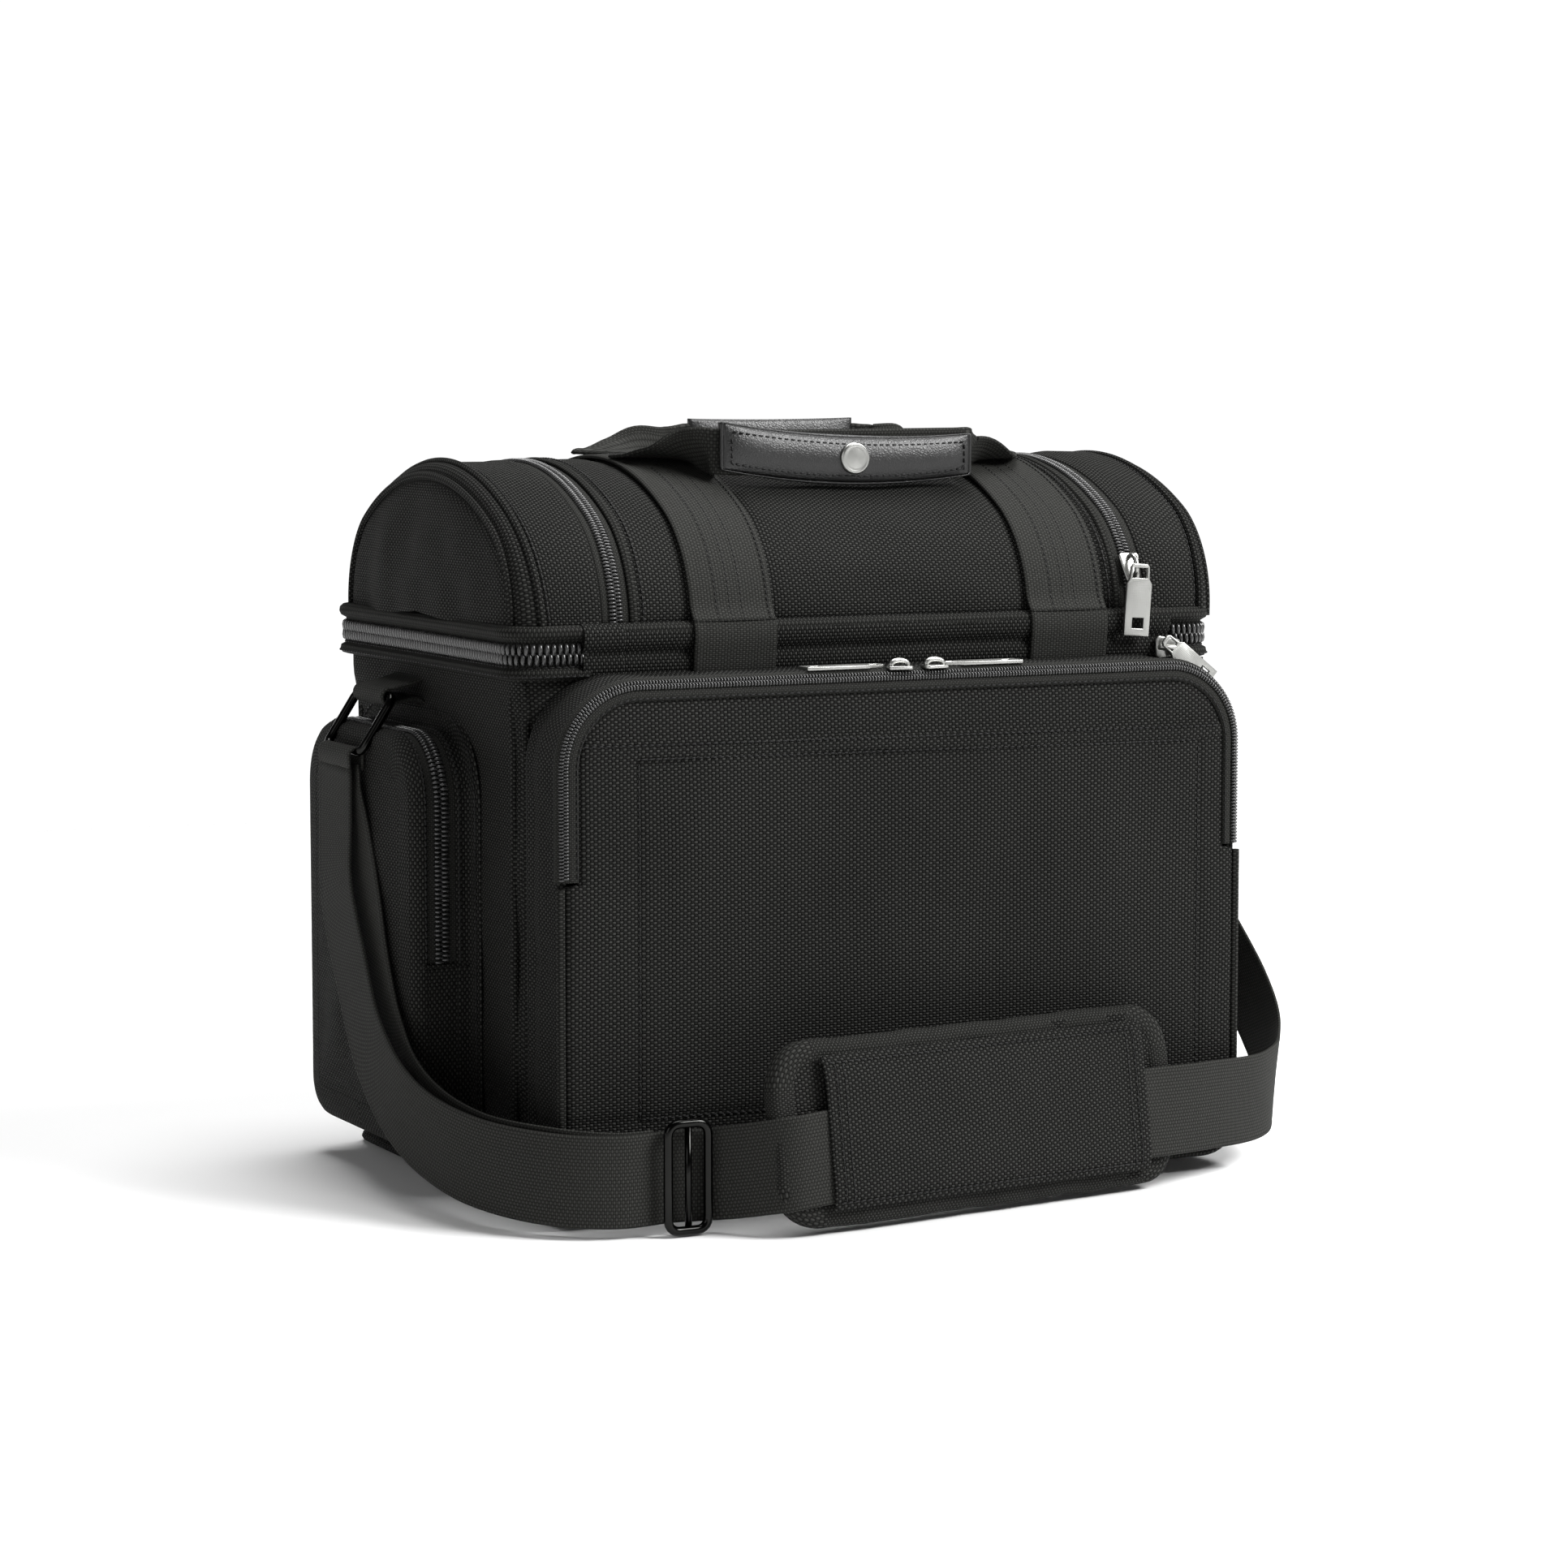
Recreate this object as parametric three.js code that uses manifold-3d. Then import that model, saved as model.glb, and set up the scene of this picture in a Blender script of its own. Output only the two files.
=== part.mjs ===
// A soft-sided flight bag: an insulated main compartment, a barrel-topped upper compartment that
// hinges on the front edge, zipped pockets, two carrying handles and a padded shoulder strap.
// Millimetres, +Z up, front towards -Y. Soft walls and webbing are plain closed solids.
import * as THREE from "three";
import { mergeVertices } from "three/addons/utils/BufferGeometryUtils.js";
import Module from "manifold-3d";

// ---------- driving dimensions ----------
const WIDTH = 350; // across the body, along X
const DEPTH = 215; // front to back, along Y
const GAP = 0.3; // between pieces that touch
const WALL = 8; // foam-filled wall
const SHELL = 4; // thinner padded fabric
const CORNER_RADIUS = 14;
const FOOT_HEIGHT = 5;
const BOTTOM_TOP = 12; // upper face of the padded bottom
const SPLIT = 250; // height at which the upper compartment parts from the body
const BAND_DEPTH = 4.5; // how far the zip bands stand proud of the walls
const BAND_HEIGHT = 12;
const SPRING = 260; // where the barrel top starts to curve
const APEX = 332; // highest point of the barrel top
const SIDE_RADIUS = 58; // of the arch's two side arcs
const ARCH_ZIP_X = 133.5; // centre of the arched zips
const ARCH_ZIP_WIDTH = 14;
const LID_BACK_HEIGHT = 278; // where the lid ends at the back
const STRIP_WIDTH = 41; // body webbing
const STRIP_X = [-77, 95.5];
const WEBBING = 2; // webbing thickness
const POCKET = { left: -176, right: 170, bottom: 7, top: 240, depth: 36, topRadius: 38, lowRadius: 16 };
const POCKET_FOLD = 152; // where the front flap folds down
const SIDE_POCKET = { front: -44, back: 94, bottom: 18, top: 210, depth: 31, radius: 32, soft: 14 };
const SIDE_FOLD = 106; // where a side pocket's cover folds down
const SIDE_ZIP_PLANE = 16; // how far out from the wall the side pocket's zip runs
const RING = { y: 30, x: 194, z: 224, width: 50, length: 34, bar: 4.4, tilt: 57 };
const PULL = { length: 40, width: 10, thickness: 2 };
const FOOT = { length: 75, width: 62, proud: 3 };
const SLEEVE_THICKNESS = 6.4;
const FRONT_HANDLE = { axisY: -18, axisZ: 334.6, y: -61, bottom: 323.2, height: 27, left: -60, right: 68 };
const REAR_HANDLE = { axisY: 18, axisZ: 334.6, y: 44, bottom: 327.2, height: 23.5, left: -50, right: 62 };
const CAP_RADIUS = 7.5;
const STRAP_WIDTH = 41;
const PAD = { length: 212, height: 82, thickness: 11, radius: 20, turn: 7.5, lean: 9 };
const PAD_FOOT = [15, -186]; // middle of the pad's lower edge
const SHIFT_Y = 16.3; // puts the origin under the middle of the bag's box

const HALF_X = WIDTH / 2;
const HALF_Y = DEPTH / 2;
const RISE = APEX - SPRING;
const SIDE_CENTRE = HALF_Y - SIDE_RADIUS;
// The top arc meets both side arcs smoothly, which fixes its radius.
const TOP_RADIUS = (SIDE_CENTRE ** 2 + RISE ** 2 - SIDE_RADIUS ** 2) / (2 * (RISE - SIDE_RADIUS));
const TOP_CENTRE = APEX - TOP_RADIUS;
const MEET_ANGLE = Math.atan2(SIDE_CENTRE, SPRING - TOP_CENTRE);
const POCKET_FACE = -(HALF_Y + POCKET.depth);
const DEG = Math.PI / 180;

// ---------- materials ----------
const finish = (color, roughness, metalness = 0) => new THREE.MeshStandardMaterial({ color, roughness, metalness });
const NYLON = finish(0x2a2b28, 0.85);
const LINING = finish(0x3a3d40, 0.7);
const WEB = finish(0x242522, 0.8);
const ZIP = finish(0x17181a, 0.45);
const LEATHER = finish(0x121314, 0.45);
const NICKEL = finish(0xb0b0ac, 0.35, 1);
const BLACK_METAL = finish(0x1b1b1d, 0.25, 1);
const BOARD = finish(0x1c1c1c, 0.6);

// ---------- helpers ----------
const wasm = await Module();
wasm.setup();

// A geometry as a manifold-3d solid.
function solid(geometry) {
  const bare = geometry.clone();
  bare.deleteAttribute("normal");
  bare.deleteAttribute("uv");
  const merged = mergeVertices(bare, 1e-3);
  return new wasm.Manifold(
    new wasm.Mesh({
      numProp: 3,
      vertProperties: new Float32Array(merged.attributes.position.array),
      triVerts: new Uint32Array(merged.index.array),
    }),
  );
}

function geometryOf(body) {
  const mesh = body.getMesh();
  const geometry = new THREE.BufferGeometry();
  geometry.setAttribute("position", new THREE.BufferAttribute(mesh.vertProperties, 3));
  geometry.setIndex(new THREE.BufferAttribute(mesh.triVerts, 1));
  geometry.computeVertexNormals();
  return geometry;
}

const join = (...parts) => geometryOf(parts.map(solid).reduce((a, b) => a.add(b)));
const cut = (from, ...tools) => geometryOf(tools.map(solid).reduce((a, b) => a.subtract(b), solid(from)));
const common = (a, b) => geometryOf(solid(a).intersect(solid(b)));

// A box between two corners.
function block([x0, y0, z0], [x1, y1, z1]) {
  const box = new THREE.BoxGeometry(x1 - x0, y1 - y0, z1 - z0);
  return box.translate((x0 + x1) / 2, (y0 + y1) / 2, (z0 + z1) / 2);
}

const AXES = {
  x: [new THREE.Vector3(0, 1, 0), new THREE.Vector3(0, 0, 1), new THREE.Vector3(1, 0, 0)],
  y: [new THREE.Vector3(-1, 0, 0), new THREE.Vector3(0, 0, 1), new THREE.Vector3(0, 1, 0)],
  z: [new THREE.Vector3(1, 0, 0), new THREE.Vector3(0, 1, 0), new THREE.Vector3(0, 0, 1)],
};

// A flat shape drawn out along an axis, from one coordinate to the next. Along x the shape holds
// (Y, Z), along y it holds (-X, Z), and along z it holds (X, Y).
function drawnOut(shape, axis, from, to, options = {}) {
  const geometry = new THREE.ExtrudeGeometry(shape, {
    depth: to - from,
    bevelEnabled: false,
    curveSegments: 6,
    ...options,
  });
  geometry.translate(0, 0, from);
  return geometry.applyMatrix4(new THREE.Matrix4().makeBasis(...AXES[axis]));
}

// A rounded rectangle between two corners, its upper and lower corners of different radii.
function roundedRect(x0, y0, x1, y1, upper, lower = upper) {
  const shape = new THREE.Shape();
  shape.moveTo(x0 + lower, y0);
  shape.lineTo(x1 - lower, y0);
  shape.absarc(x1 - lower, y0 + lower, lower, -Math.PI / 2, 0);
  shape.absarc(x1 - upper, y1 - upper, upper, 0, Math.PI / 2);
  shape.absarc(x0 + upper, y1 - upper, upper, Math.PI / 2, Math.PI);
  shape.absarc(x0 + lower, y0 + lower, lower, Math.PI, 1.5 * Math.PI);
  return shape;
}

// A closed band of a given section between two shapes, one inside the other.
function withHole(outer, inner) {
  outer.holes.push(new THREE.Path(inner.getPoints(6)));
  return outer;
}

// The arch's surface: turn is the outward normal's angle from upright, negative at the front.
function archPoint(turn, offset = 0) {
  const angle = turn * DEG;
  const onSide = Math.abs(angle) > MEET_ANGLE;
  const radius = (onSide ? SIDE_RADIUS : TOP_RADIUS) + offset;
  const centre = onSide ? [Math.sign(angle) * SIDE_CENTRE, SPRING] : [0, TOP_CENTRE];
  return new THREE.Vector2(centre[0] + radius * Math.sin(angle), centre[1] + radius * Math.cos(angle));
}

// Every piece of the arch has its corners at the same turns, so that layers stay clear of each other.
const ARCH_TURNS = Array.from({ length: 25 }, (_, i) => -90 + 7.5 * i);
const turnAtHeight = (z) => 90 - Math.asin((z - SPRING) / SIDE_RADIUS) / DEG;
const turnAtDepth = (y) => Math.asin(y / TOP_RADIUS) / DEG;

// A stretch of the arch between two turns and two offsets, with straight feet where asked for.
function archStretch(from, to, inner, outer, { frontFoot, backFoot } = {}) {
  const between = ARCH_TURNS.filter((turn) => turn > from + 1 && turn < to - 1);
  const turns = [from, ...between, to];
  const side = (offset) => {
    const points = turns.map((turn) => archPoint(turn, offset));
    if (frontFoot) points.unshift(new THREE.Vector2(-HALF_Y - offset, frontFoot));
    if (backFoot) points.push(new THREE.Vector2(HALF_Y + offset, backFoot));
    return points;
  };
  return new THREE.Shape([...side(outer), ...side(inner).reverse()]);
}

// The whole arch's outline, closed along its foot.
function archOutline(foot, inset = 0) {
  const curve = ARCH_TURNS.map((turn) => archPoint(turn, -inset));
  return new THREE.Shape([
    new THREE.Vector2(-HALF_Y + inset, foot),
    ...curve,
    new THREE.Vector2(HALF_Y - inset, foot),
  ]);
}

// A flat ribbon swept through stations of { at, across, width }, its width turning between them.
function ribbon(stations, thickness, steps) {
  const curve = new THREE.CatmullRomCurve3(
    stations.map((s) => new THREE.Vector3(...s.at)),
    false,
    "centripetal",
  );
  const last = stations.length - 1;
  const rows = [];
  for (let i = 0; i <= steps; i++) {
    const t = i / steps;
    const k = Math.min(Math.floor(t * last), last - 1);
    const part = t * last - k;
    const centre = curve.getPoint(t);
    const tangent = curve.getTangent(t);
    const across = new THREE.Vector3(...stations[k].across)
      .normalize()
      .lerp(new THREE.Vector3(...stations[k + 1].across).normalize(), part);
    across.addScaledVector(tangent, -across.dot(tangent)).normalize();
    const normal = new THREE.Vector3().crossVectors(tangent, across);
    const width = (stations[k].width ?? STRAP_WIDTH) * (1 - part) + (stations[k + 1].width ?? STRAP_WIDTH) * part;
    for (const [a, n] of [[-1, -1], [1, -1], [1, 1], [-1, 1]])
      rows.push(
        centre.clone().addScaledVector(across, (a * width) / 2).addScaledVector(normal, (n * thickness) / 2),
      );
  }
  const index = [];
  for (let i = 0; i < steps; i++)
    for (let j = 0; j < 4; j++) {
      const a = 4 * i + j;
      const b = 4 * i + ((j + 1) % 4);
      index.push(a, b, b + 4, a, b + 4, a + 4);
    }
  const end = 4 * steps;
  index.push(0, 2, 1, 0, 3, 2, end, end + 1, end + 2, end, end + 2, end + 3);
  const geometry = new THREE.BufferGeometry().setFromPoints(rows);
  geometry.setIndex(index);
  geometry.computeVertexNormals();
  return geometry;
}

const bag = new THREE.Group();

function add(name, geometry, material, parent = bag) {
  const mesh = new THREE.Mesh(geometry, material);
  mesh.name = name;
  parent.add(mesh);
  return mesh;
}

const mirrored = (geometry) => {
  const flipped = geometry.clone().scale(-1, 1, 1);
  const index = flipped.index ? Array.from(flipped.index.array) : [...Array(flipped.attributes.position.count).keys()];
  for (let i = 0; i < index.length; i += 3) [index[i + 1], index[i + 2]] = [index[i + 2], index[i + 1]];
  flipped.setIndex(index);
  flipped.computeVertexNormals();
  return flipped;
};

// Adds a left-hand piece and its mirror image.
function addPair(name, geometry, material) {
  add(`left_${name}`, geometry, material);
  add(`right_${name}`, mirrored(geometry), material);
}

// ---------- main body ----------
const wallFoot = BOTTOM_TOP + GAP;
const wallTop = SPLIT - GAP;
const faceHalf = HALF_X - CORNER_RADIUS;

function bodyWalls() {
  const inner = HALF_Y - WALL;
  const face = (y0, y1) => block([-faceHalf + GAP, y0, wallFoot], [faceHalf - GAP, y1, wallTop]);
  add("front_wall", face(-HALF_Y, -inner), NYLON);
  add("back_wall", face(inner, HALF_Y), NYLON);
  const side = new THREE.Shape();
  side.moveTo(-faceHalf, -HALF_Y);
  side.lineTo(-faceHalf, -inner);
  side.lineTo(-HALF_X + WALL, -inner);
  side.lineTo(-HALF_X + WALL, inner);
  side.lineTo(-faceHalf, inner);
  side.lineTo(-faceHalf, HALF_Y);
  side.absarc(-faceHalf, HALF_Y - CORNER_RADIUS, CORNER_RADIUS, Math.PI / 2, Math.PI);
  side.absarc(-faceHalf, -HALF_Y + CORNER_RADIUS, CORNER_RADIUS, Math.PI, 1.5 * Math.PI);
  addPair("wall", drawnOut(side, "z", wallFoot, wallTop), NYLON);
}

function bottom() {
  const outline = roundedRect(-HALF_X, -HALF_Y, HALF_X, HALF_Y, CORNER_RADIUS);
  add("bottom_panel", drawnOut(outline, "z", FOOT_HEIGHT + GAP, BOTTOM_TOP), NYLON);
  const [x, y] = [HALF_X - WALL - 1, HALF_Y - WALL - 1];
  add("base_board", block([-x, -y, wallFoot], [x, y, wallFoot + 3]), BOARD);
  const reach = [HALF_X + FOOT.proud, HALF_Y + FOOT.proud];
  for (const [end, sy] of [["front", -1], ["back", 1]])
    for (const [hand, sx] of [["left", -1], ["right", 1]]) {
      const xs = [sx * reach[0], sx * (reach[0] - FOOT.width)].sort((a, b) => a - b);
      const ys = [sy * reach[1], sy * (reach[1] - FOOT.length)].sort((a, b) => a - b);
      const pad = roundedRect(xs[0], ys[0], xs[1], ys[1], CORNER_RADIUS + FOOT.proud);
      add(`foot_${end}_${hand}`, drawnOut(pad, "z", 0, FOOT_HEIGHT), NYLON);
    }
}

function liner() {
  const [x, y] = [HALF_X - WALL - 0.5, HALF_Y - WALL - 0.5];
  const skin = 1.5;
  const floor = wallFoot + 3 + GAP;
  const tub = block([-x, -y, floor], [x, y, wallTop - 6]);
  const hollow = block([-x + skin, -y + skin, floor + skin], [x - skin, y - skin, wallTop]);
  add("liner", cut(tub, hollow), LINING);
}

// An outline round the body, offset outwards.
const bodyOutline = (offset) =>
  roundedRect(-HALF_X - offset, -HALF_Y - offset, HALF_X + offset, HALF_Y + offset, CORNER_RADIUS + offset);

// The main zip's lower band wraps the sides and back, and its upper band rings the whole body. The
// front edge has a rolled fold instead, which is the hinge.
const ZIP_END = 152;
function zipBands() {
  const ring = (z0, z1) => drawnOut(withHole(bodyOutline(BAND_DEPTH), bodyOutline(GAP)), "z", z0, z1);
  const front = block([-ZIP_END, -HALF_Y - 9, 0], [ZIP_END, -HALF_Y + 9, SPLIT + 50]);
  add("main_zip_lower", cut(ring(SPLIT - BAND_HEIGHT, SPLIT - 0.2), front), ZIP);
  add("main_zip_upper", ring(SPLIT + 0.2, SPLIT + BAND_HEIGHT), ZIP);
  const roll = new THREE.Shape();
  const [y, z] = [-HALF_Y - GAP, SPLIT - GAP];
  roll.moveTo(y, z);
  roll.lineTo(y - BAND_DEPTH + GAP, z);
  roll.absellipse(y, z, BAND_DEPTH - GAP, 8, Math.PI, 1.5 * Math.PI);
  add("hinge_roll", drawnOut(roll, "x", -ZIP_END + GAP, ZIP_END - GAP), NYLON);
}

// ---------- front pocket ----------
// The pocket's outline in (-X, Z), inset from its edge.
const pocketOutline = (inset) =>
  roundedRect(
    -POCKET.right + inset,
    POCKET.bottom + inset,
    -POCKET.left - inset,
    POCKET.top - inset,
    POCKET.topRadius - inset,
    POCKET.lowRadius - inset,
  );

function frontPocket() {
  const back = -HALF_Y - GAP;
  const gusset = withHole(pocketOutline(0), pocketOutline(SHELL));
  add("front_gusset", drawnOut(gusset, "y", POCKET_FACE + SHELL + GAP, back), NYLON);
  const upper = block([-WIDTH, -WIDTH, POCKET_FOLD + GAP], [WIDTH, 0, WIDTH]);
  const lower = block([-WIDTH, -WIDTH, 0], [WIDTH, 0, POCKET_FOLD - GAP]);
  const chain = drawnOut(
    withHole(pocketOutline(0), pocketOutline(SHELL)),
    "y",
    POCKET_FACE - 1,
    POCKET_FACE + SHELL,
  );
  add("front_zip", common(chain, upper), ZIP);
  const face = (inset) => drawnOut(pocketOutline(inset), "y", POCKET_FACE, POCKET_FACE + SHELL);
  add("front_face_lower", common(face(0), lower), NYLON);
  add("front_flap", common(face(SHELL + GAP), upper), NYLON);
}

// ---------- side pockets ----------
// Outline in (Y, Z), inset from the pocket's edge.
const sideOutline = (inset) =>
  roundedRect(
    SIDE_POCKET.front + inset,
    SIDE_POCKET.bottom + inset,
    SIDE_POCKET.back - inset,
    SIDE_POCKET.top - inset,
    SIDE_POCKET.radius - inset,
    0.6 * SIDE_POCKET.radius - inset,
  );

const sideSpan = (inset, from, to) =>
  drawnOut(sideOutline(inset), "x", -HALF_X - to, -HALF_X - from, { curveSegments: 3 });

// The outer half of the pocket, softened round its outer edge by a bevel.
function sideShell(inset, from, to) {
  const { soft } = SIDE_POCKET;
  const shape = sideOutline(inset + soft);
  const bevel = { bevelEnabled: true, bevelThickness: soft, bevelSize: soft, bevelSegments: 2, depth: 0.5 };
  const rounded = new THREE.ExtrudeGeometry(shape, { ...bevel, curveSegments: 3 });
  rounded.applyMatrix4(new THREE.Matrix4().makeBasis(...AXES.x));
  rounded.translate(-HALF_X - to + soft, 0, 0);
  return common(rounded, sideSpan(inset, from, to));
}

function sidePockets() {
  const flange = 10;
  const { depth } = SIDE_POCKET;
  const skin = 3;
  const base = cut(sideSpan(-flange, GAP, 2), sideSpan(skin, 0, 9));
  const inner = cut(sideSpan(0, 1, SIDE_ZIP_PLANE), sideSpan(skin, 0, depth));
  const shell = cut(sideShell(0, SIDE_ZIP_PLANE - 4, depth), sideShell(skin, -2, depth - skin));
  const outside = (z0, z1, from) => block([-HALF_X - 90, -WIDTH, z0], [-HALF_X - from, WIDTH, z1]);
  const low = common(shell, outside(0, SIDE_FOLD - GAP, 0));
  addPair("pocket_box", join(base, inner, low), NYLON);
  const cover = common(shell, outside(SIDE_FOLD + GAP, APEX, SIDE_ZIP_PLANE + GAP));
  addPair("pocket_cover", cover, NYLON);
}

// ---------- strap rings and tabs ----------
function strapAnchors() {
  const half = STRAP_WIDTH / 2 - 1;
  const tab = block([-RING.x + 3.6, RING.y - half, RING.z - 2], [-HALF_X - GAP, RING.y + half, RING.z + 2]);
  addPair("strap_tab", tab, WEB);
  const across = RING.width / 2;
  const outer = roundedRect(-across, -RING.length + RING.bar / 2, across, RING.bar / 2, 4);
  const inner = roundedRect(
    -across + RING.bar,
    -RING.length + 1.5 * RING.bar,
    across - RING.bar,
    -RING.bar / 2,
    2,
  );
  const frame = drawnOut(withHole(outer, inner), "x", -RING.bar / 2, RING.bar / 2, { curveSegments: 4 });
  frame.rotateY((90 - RING.tilt) * DEG);
  frame.translate(-RING.x, RING.y, RING.z);
  addPair("strap_ring", frame, BLACK_METAL);
}

// ---------- upper compartment ----------
const archFoot = SPLIT + GAP;
const zipInner = ARCH_ZIP_X - ARCH_ZIP_WIDTH / 2;
const zipOuter = ARCH_ZIP_X + ARCH_ZIP_WIDTH / 2;

function upperCompartment() {
  const [x, y] = [HALF_X - SHELL - GAP, HALF_Y - SHELL - GAP];
  add("dome_floor", block([-x, -y, archFoot], [x, y, archFoot + 3]), LINING);
  const plan = drawnOut(bodyOutline(0), "z", SPLIT, APEX + 1);
  const end = drawnOut(archOutline(archFoot), "x", -HALF_X, -HALF_X + SHELL);
  addPair("dome_end", common(end, plan), NYLON);
  const hoop = archStretch(-90, 90, -SHELL, 0, { frontFoot: archFoot, backFoot: archFoot });
  const gusset = drawnOut(hoop, "x", -HALF_X + SHELL + GAP, -zipOuter - GAP);
  addPair("dome_gusset", common(gusset, plan), NYLON);
  const zipBack = [turnAtHeight(LID_BACK_HEIGHT - GAP), turnAtHeight(LID_BACK_HEIGHT - ARCH_ZIP_WIDTH)];
  const backTurn = turnAtHeight(LID_BACK_HEIGHT - ARCH_ZIP_WIDTH - GAP);
  const back = archStretch(backTurn, 90, -SHELL, 0, { backFoot: archFoot });
  add("dome_back_strip", drawnOut(back, "x", -zipInner + GAP, zipInner - GAP), NYLON);
  const zipFoot = turnAtHeight(SPLIT + BAND_HEIGHT + GAP);
  const arch = archStretch(-zipFoot, zipFoot, -3, 1.2);
  const run = drawnOut(archStretch(zipBack[0], zipBack[1], -3, 1.2), "x", -ARCH_ZIP_X, ARCH_ZIP_X);
  const hoops = [drawnOut(arch, "x", -zipOuter, -zipInner), drawnOut(arch, "x", zipInner, zipOuter)];
  add("dome_zip", join(run, ...hoops), ZIP);
}

function lid() {
  const half = zipInner - GAP;
  const front = -turnAtHeight(SPLIT + BAND_HEIGHT + GAP);
  const back = turnAtHeight(LID_BACK_HEIGHT);
  add("dome_lid", drawnOut(archStretch(front, back, -SHELL, 0), "x", -half, half), NYLON);
  const strip = (from, to, x) =>
    drawnOut(archStretch(from, to, GAP, GAP + WEBBING), "x", x - STRIP_WIDTH / 2, x + STRIP_WIDTH / 2);
  for (const [hand, x] of [["left", STRIP_X[0]], ["right", STRIP_X[1]]]) {
    add(`front_strip_${hand}`, strip(front, turnAtDepth(FRONT_HANDLE.axisY - 2), x), WEB);
    add(`rear_strip_${hand}`, strip(turnAtDepth(REAR_HANDLE.axisY + 2), back, x), WEB);
  }
}

// ---------- handles ----------
// A webbing arm leaves each strip flat, turns on edge and runs through the sleeve to the other.
function handle(name, { axisY, axisZ, y, bottom, height, left, right }) {
  const middle = bottom + height / 2;
  const side = Math.sign(y);
  const upright = [0, 0, 1];
  const narrow = height - 5;
  const [x0, x1] = STRIP_X;
  const path = [
    { at: [x0, axisY + side * 0.5, axisZ], across: [1, 0, 0], width: STRIP_WIDTH },
    { at: [x0 + 1, axisY + side * 8, axisZ + 3], across: [1, 0, 0], width: 37 },
    { at: [x0 + 4, y - side * 14, middle + 2], across: [0.9, 0, 0.45], width: 26 },
    { at: [left - 6, y - side * 2, middle], across: [0.25, 0, 1], width: narrow },
    { at: [left + 2, y, middle], across: upright, width: narrow },
    { at: [left + 20, y, middle], across: upright, width: narrow },
    { at: [right - 20, y, middle], across: upright, width: narrow },
    { at: [right - 2, y, middle], across: upright, width: narrow },
    { at: [right + 6, y - side * 2, middle], across: [-0.25, 0, 1], width: narrow },
    { at: [x1 - 4, y - side * 14, middle + 2], across: [-0.9, 0, 0.45], width: 26 },
    { at: [x1 - 1, axisY + side * 8, axisZ + 3], across: [-1, 0, 0], width: 37 },
    { at: [x1, axisY + side * 0.5, axisZ], across: [-1, 0, 0], width: STRIP_WIDTH },
  ];
  add(`${name}_handle_webbing`, ribbon(path, WEBBING, 44), WEB);
  const half = SLEEVE_THICKNESS / 2;
  const sleeve = block([left, y - half, bottom], [right, y + half, bottom + height]);
  const slot = block([left - 1, y - 1.6, bottom + 2.1], [right + 1, y + 1.6, bottom + height - 2.1]);
  add(`${name}_handle_sleeve`, cut(sleeve, slot), LEATHER);
}

function wrapFlap() {
  const { y, bottom, height, left, right } = FRONT_HANDLE;
  const back = y - SLEEVE_THICKNESS / 2 - GAP;
  add("wrap_flap", block([left, back - 2, bottom + 1], [right, back, bottom + height]), LEATHER);
  const profile = [
    [0, 0],
    [CAP_RADIUS, 0],
    [CAP_RADIUS, 0.8],
    [CAP_RADIUS * 0.8, 1.8],
    [0, 2.1],
  ];
  const cap = new THREE.LatheGeometry(profile.map((p) => new THREE.Vector2(...p)), 20);
  cap.rotateX(180 * DEG);
  cap.translate((STRIP_X[0] + STRIP_X[1]) / 2, back - 2 - GAP, bottom + height / 2 + 0.5);
  add("snap_cap", cap, NICKEL);
}

// ---------- zip sliders and pulls ----------
// A flat pull with a window near its far end and an eye at its near end, hanging down from z = 0,
// its face towards -Y.
function pullShape({ length, width } = PULL) {
  const shape = roundedRect(-width / 2, -length, width / 2, 0, 1.5);
  const window = roundedRect(-width / 2 + 2.5, -length + 3, width / 2 - 2.5, -length + 10, 0.6);
  const eye = roundedRect(-width / 2 + 2.5, -7, width / 2 - 2.5, -2, 0.6);
  shape.holes.push(new THREE.Path(window.getPoints(2)), new THREE.Path(eye.getPoints(2)));
  return drawnOut(shape, "y", -PULL.thickness / 2, PULL.thickness / 2, { curveSegments: 2 });
}

// A slider's wedge-shaped body, its long way upright and its outer face towards -Y.
function sliderShape(width, length, height) {
  const shape = new THREE.Shape();
  shape.moveTo(-width / 2, length / 2);
  shape.lineTo(-width / 3, -length / 2);
  shape.lineTo(width / 3, -length / 2);
  shape.lineTo(width / 2, length / 2);
  return drawnOut(shape, "y", -height, 0);
}

// Adds a slider and its pull. Turns are in degrees about X, Y and Z, applied to shapes that hang
// down and face -Y.
function zipPull(name, sliderSize, sliderAt, sliderTurn, pullAt, pullTurn, pullSize) {
  const place = (geometry, at, turn) => {
    const rotation = new THREE.Euler(...turn.map((degrees) => degrees * DEG), "ZYX");
    geometry.applyMatrix4(new THREE.Matrix4().makeRotationFromEuler(rotation));
    return geometry.translate(...at);
  };
  add(`${name}_slider`, place(sliderShape(...sliderSize), sliderAt, sliderTurn), NICKEL);
  add(`${name}_pull`, place(pullShape(pullSize), pullAt, pullTurn), NICKEL);
}

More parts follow.
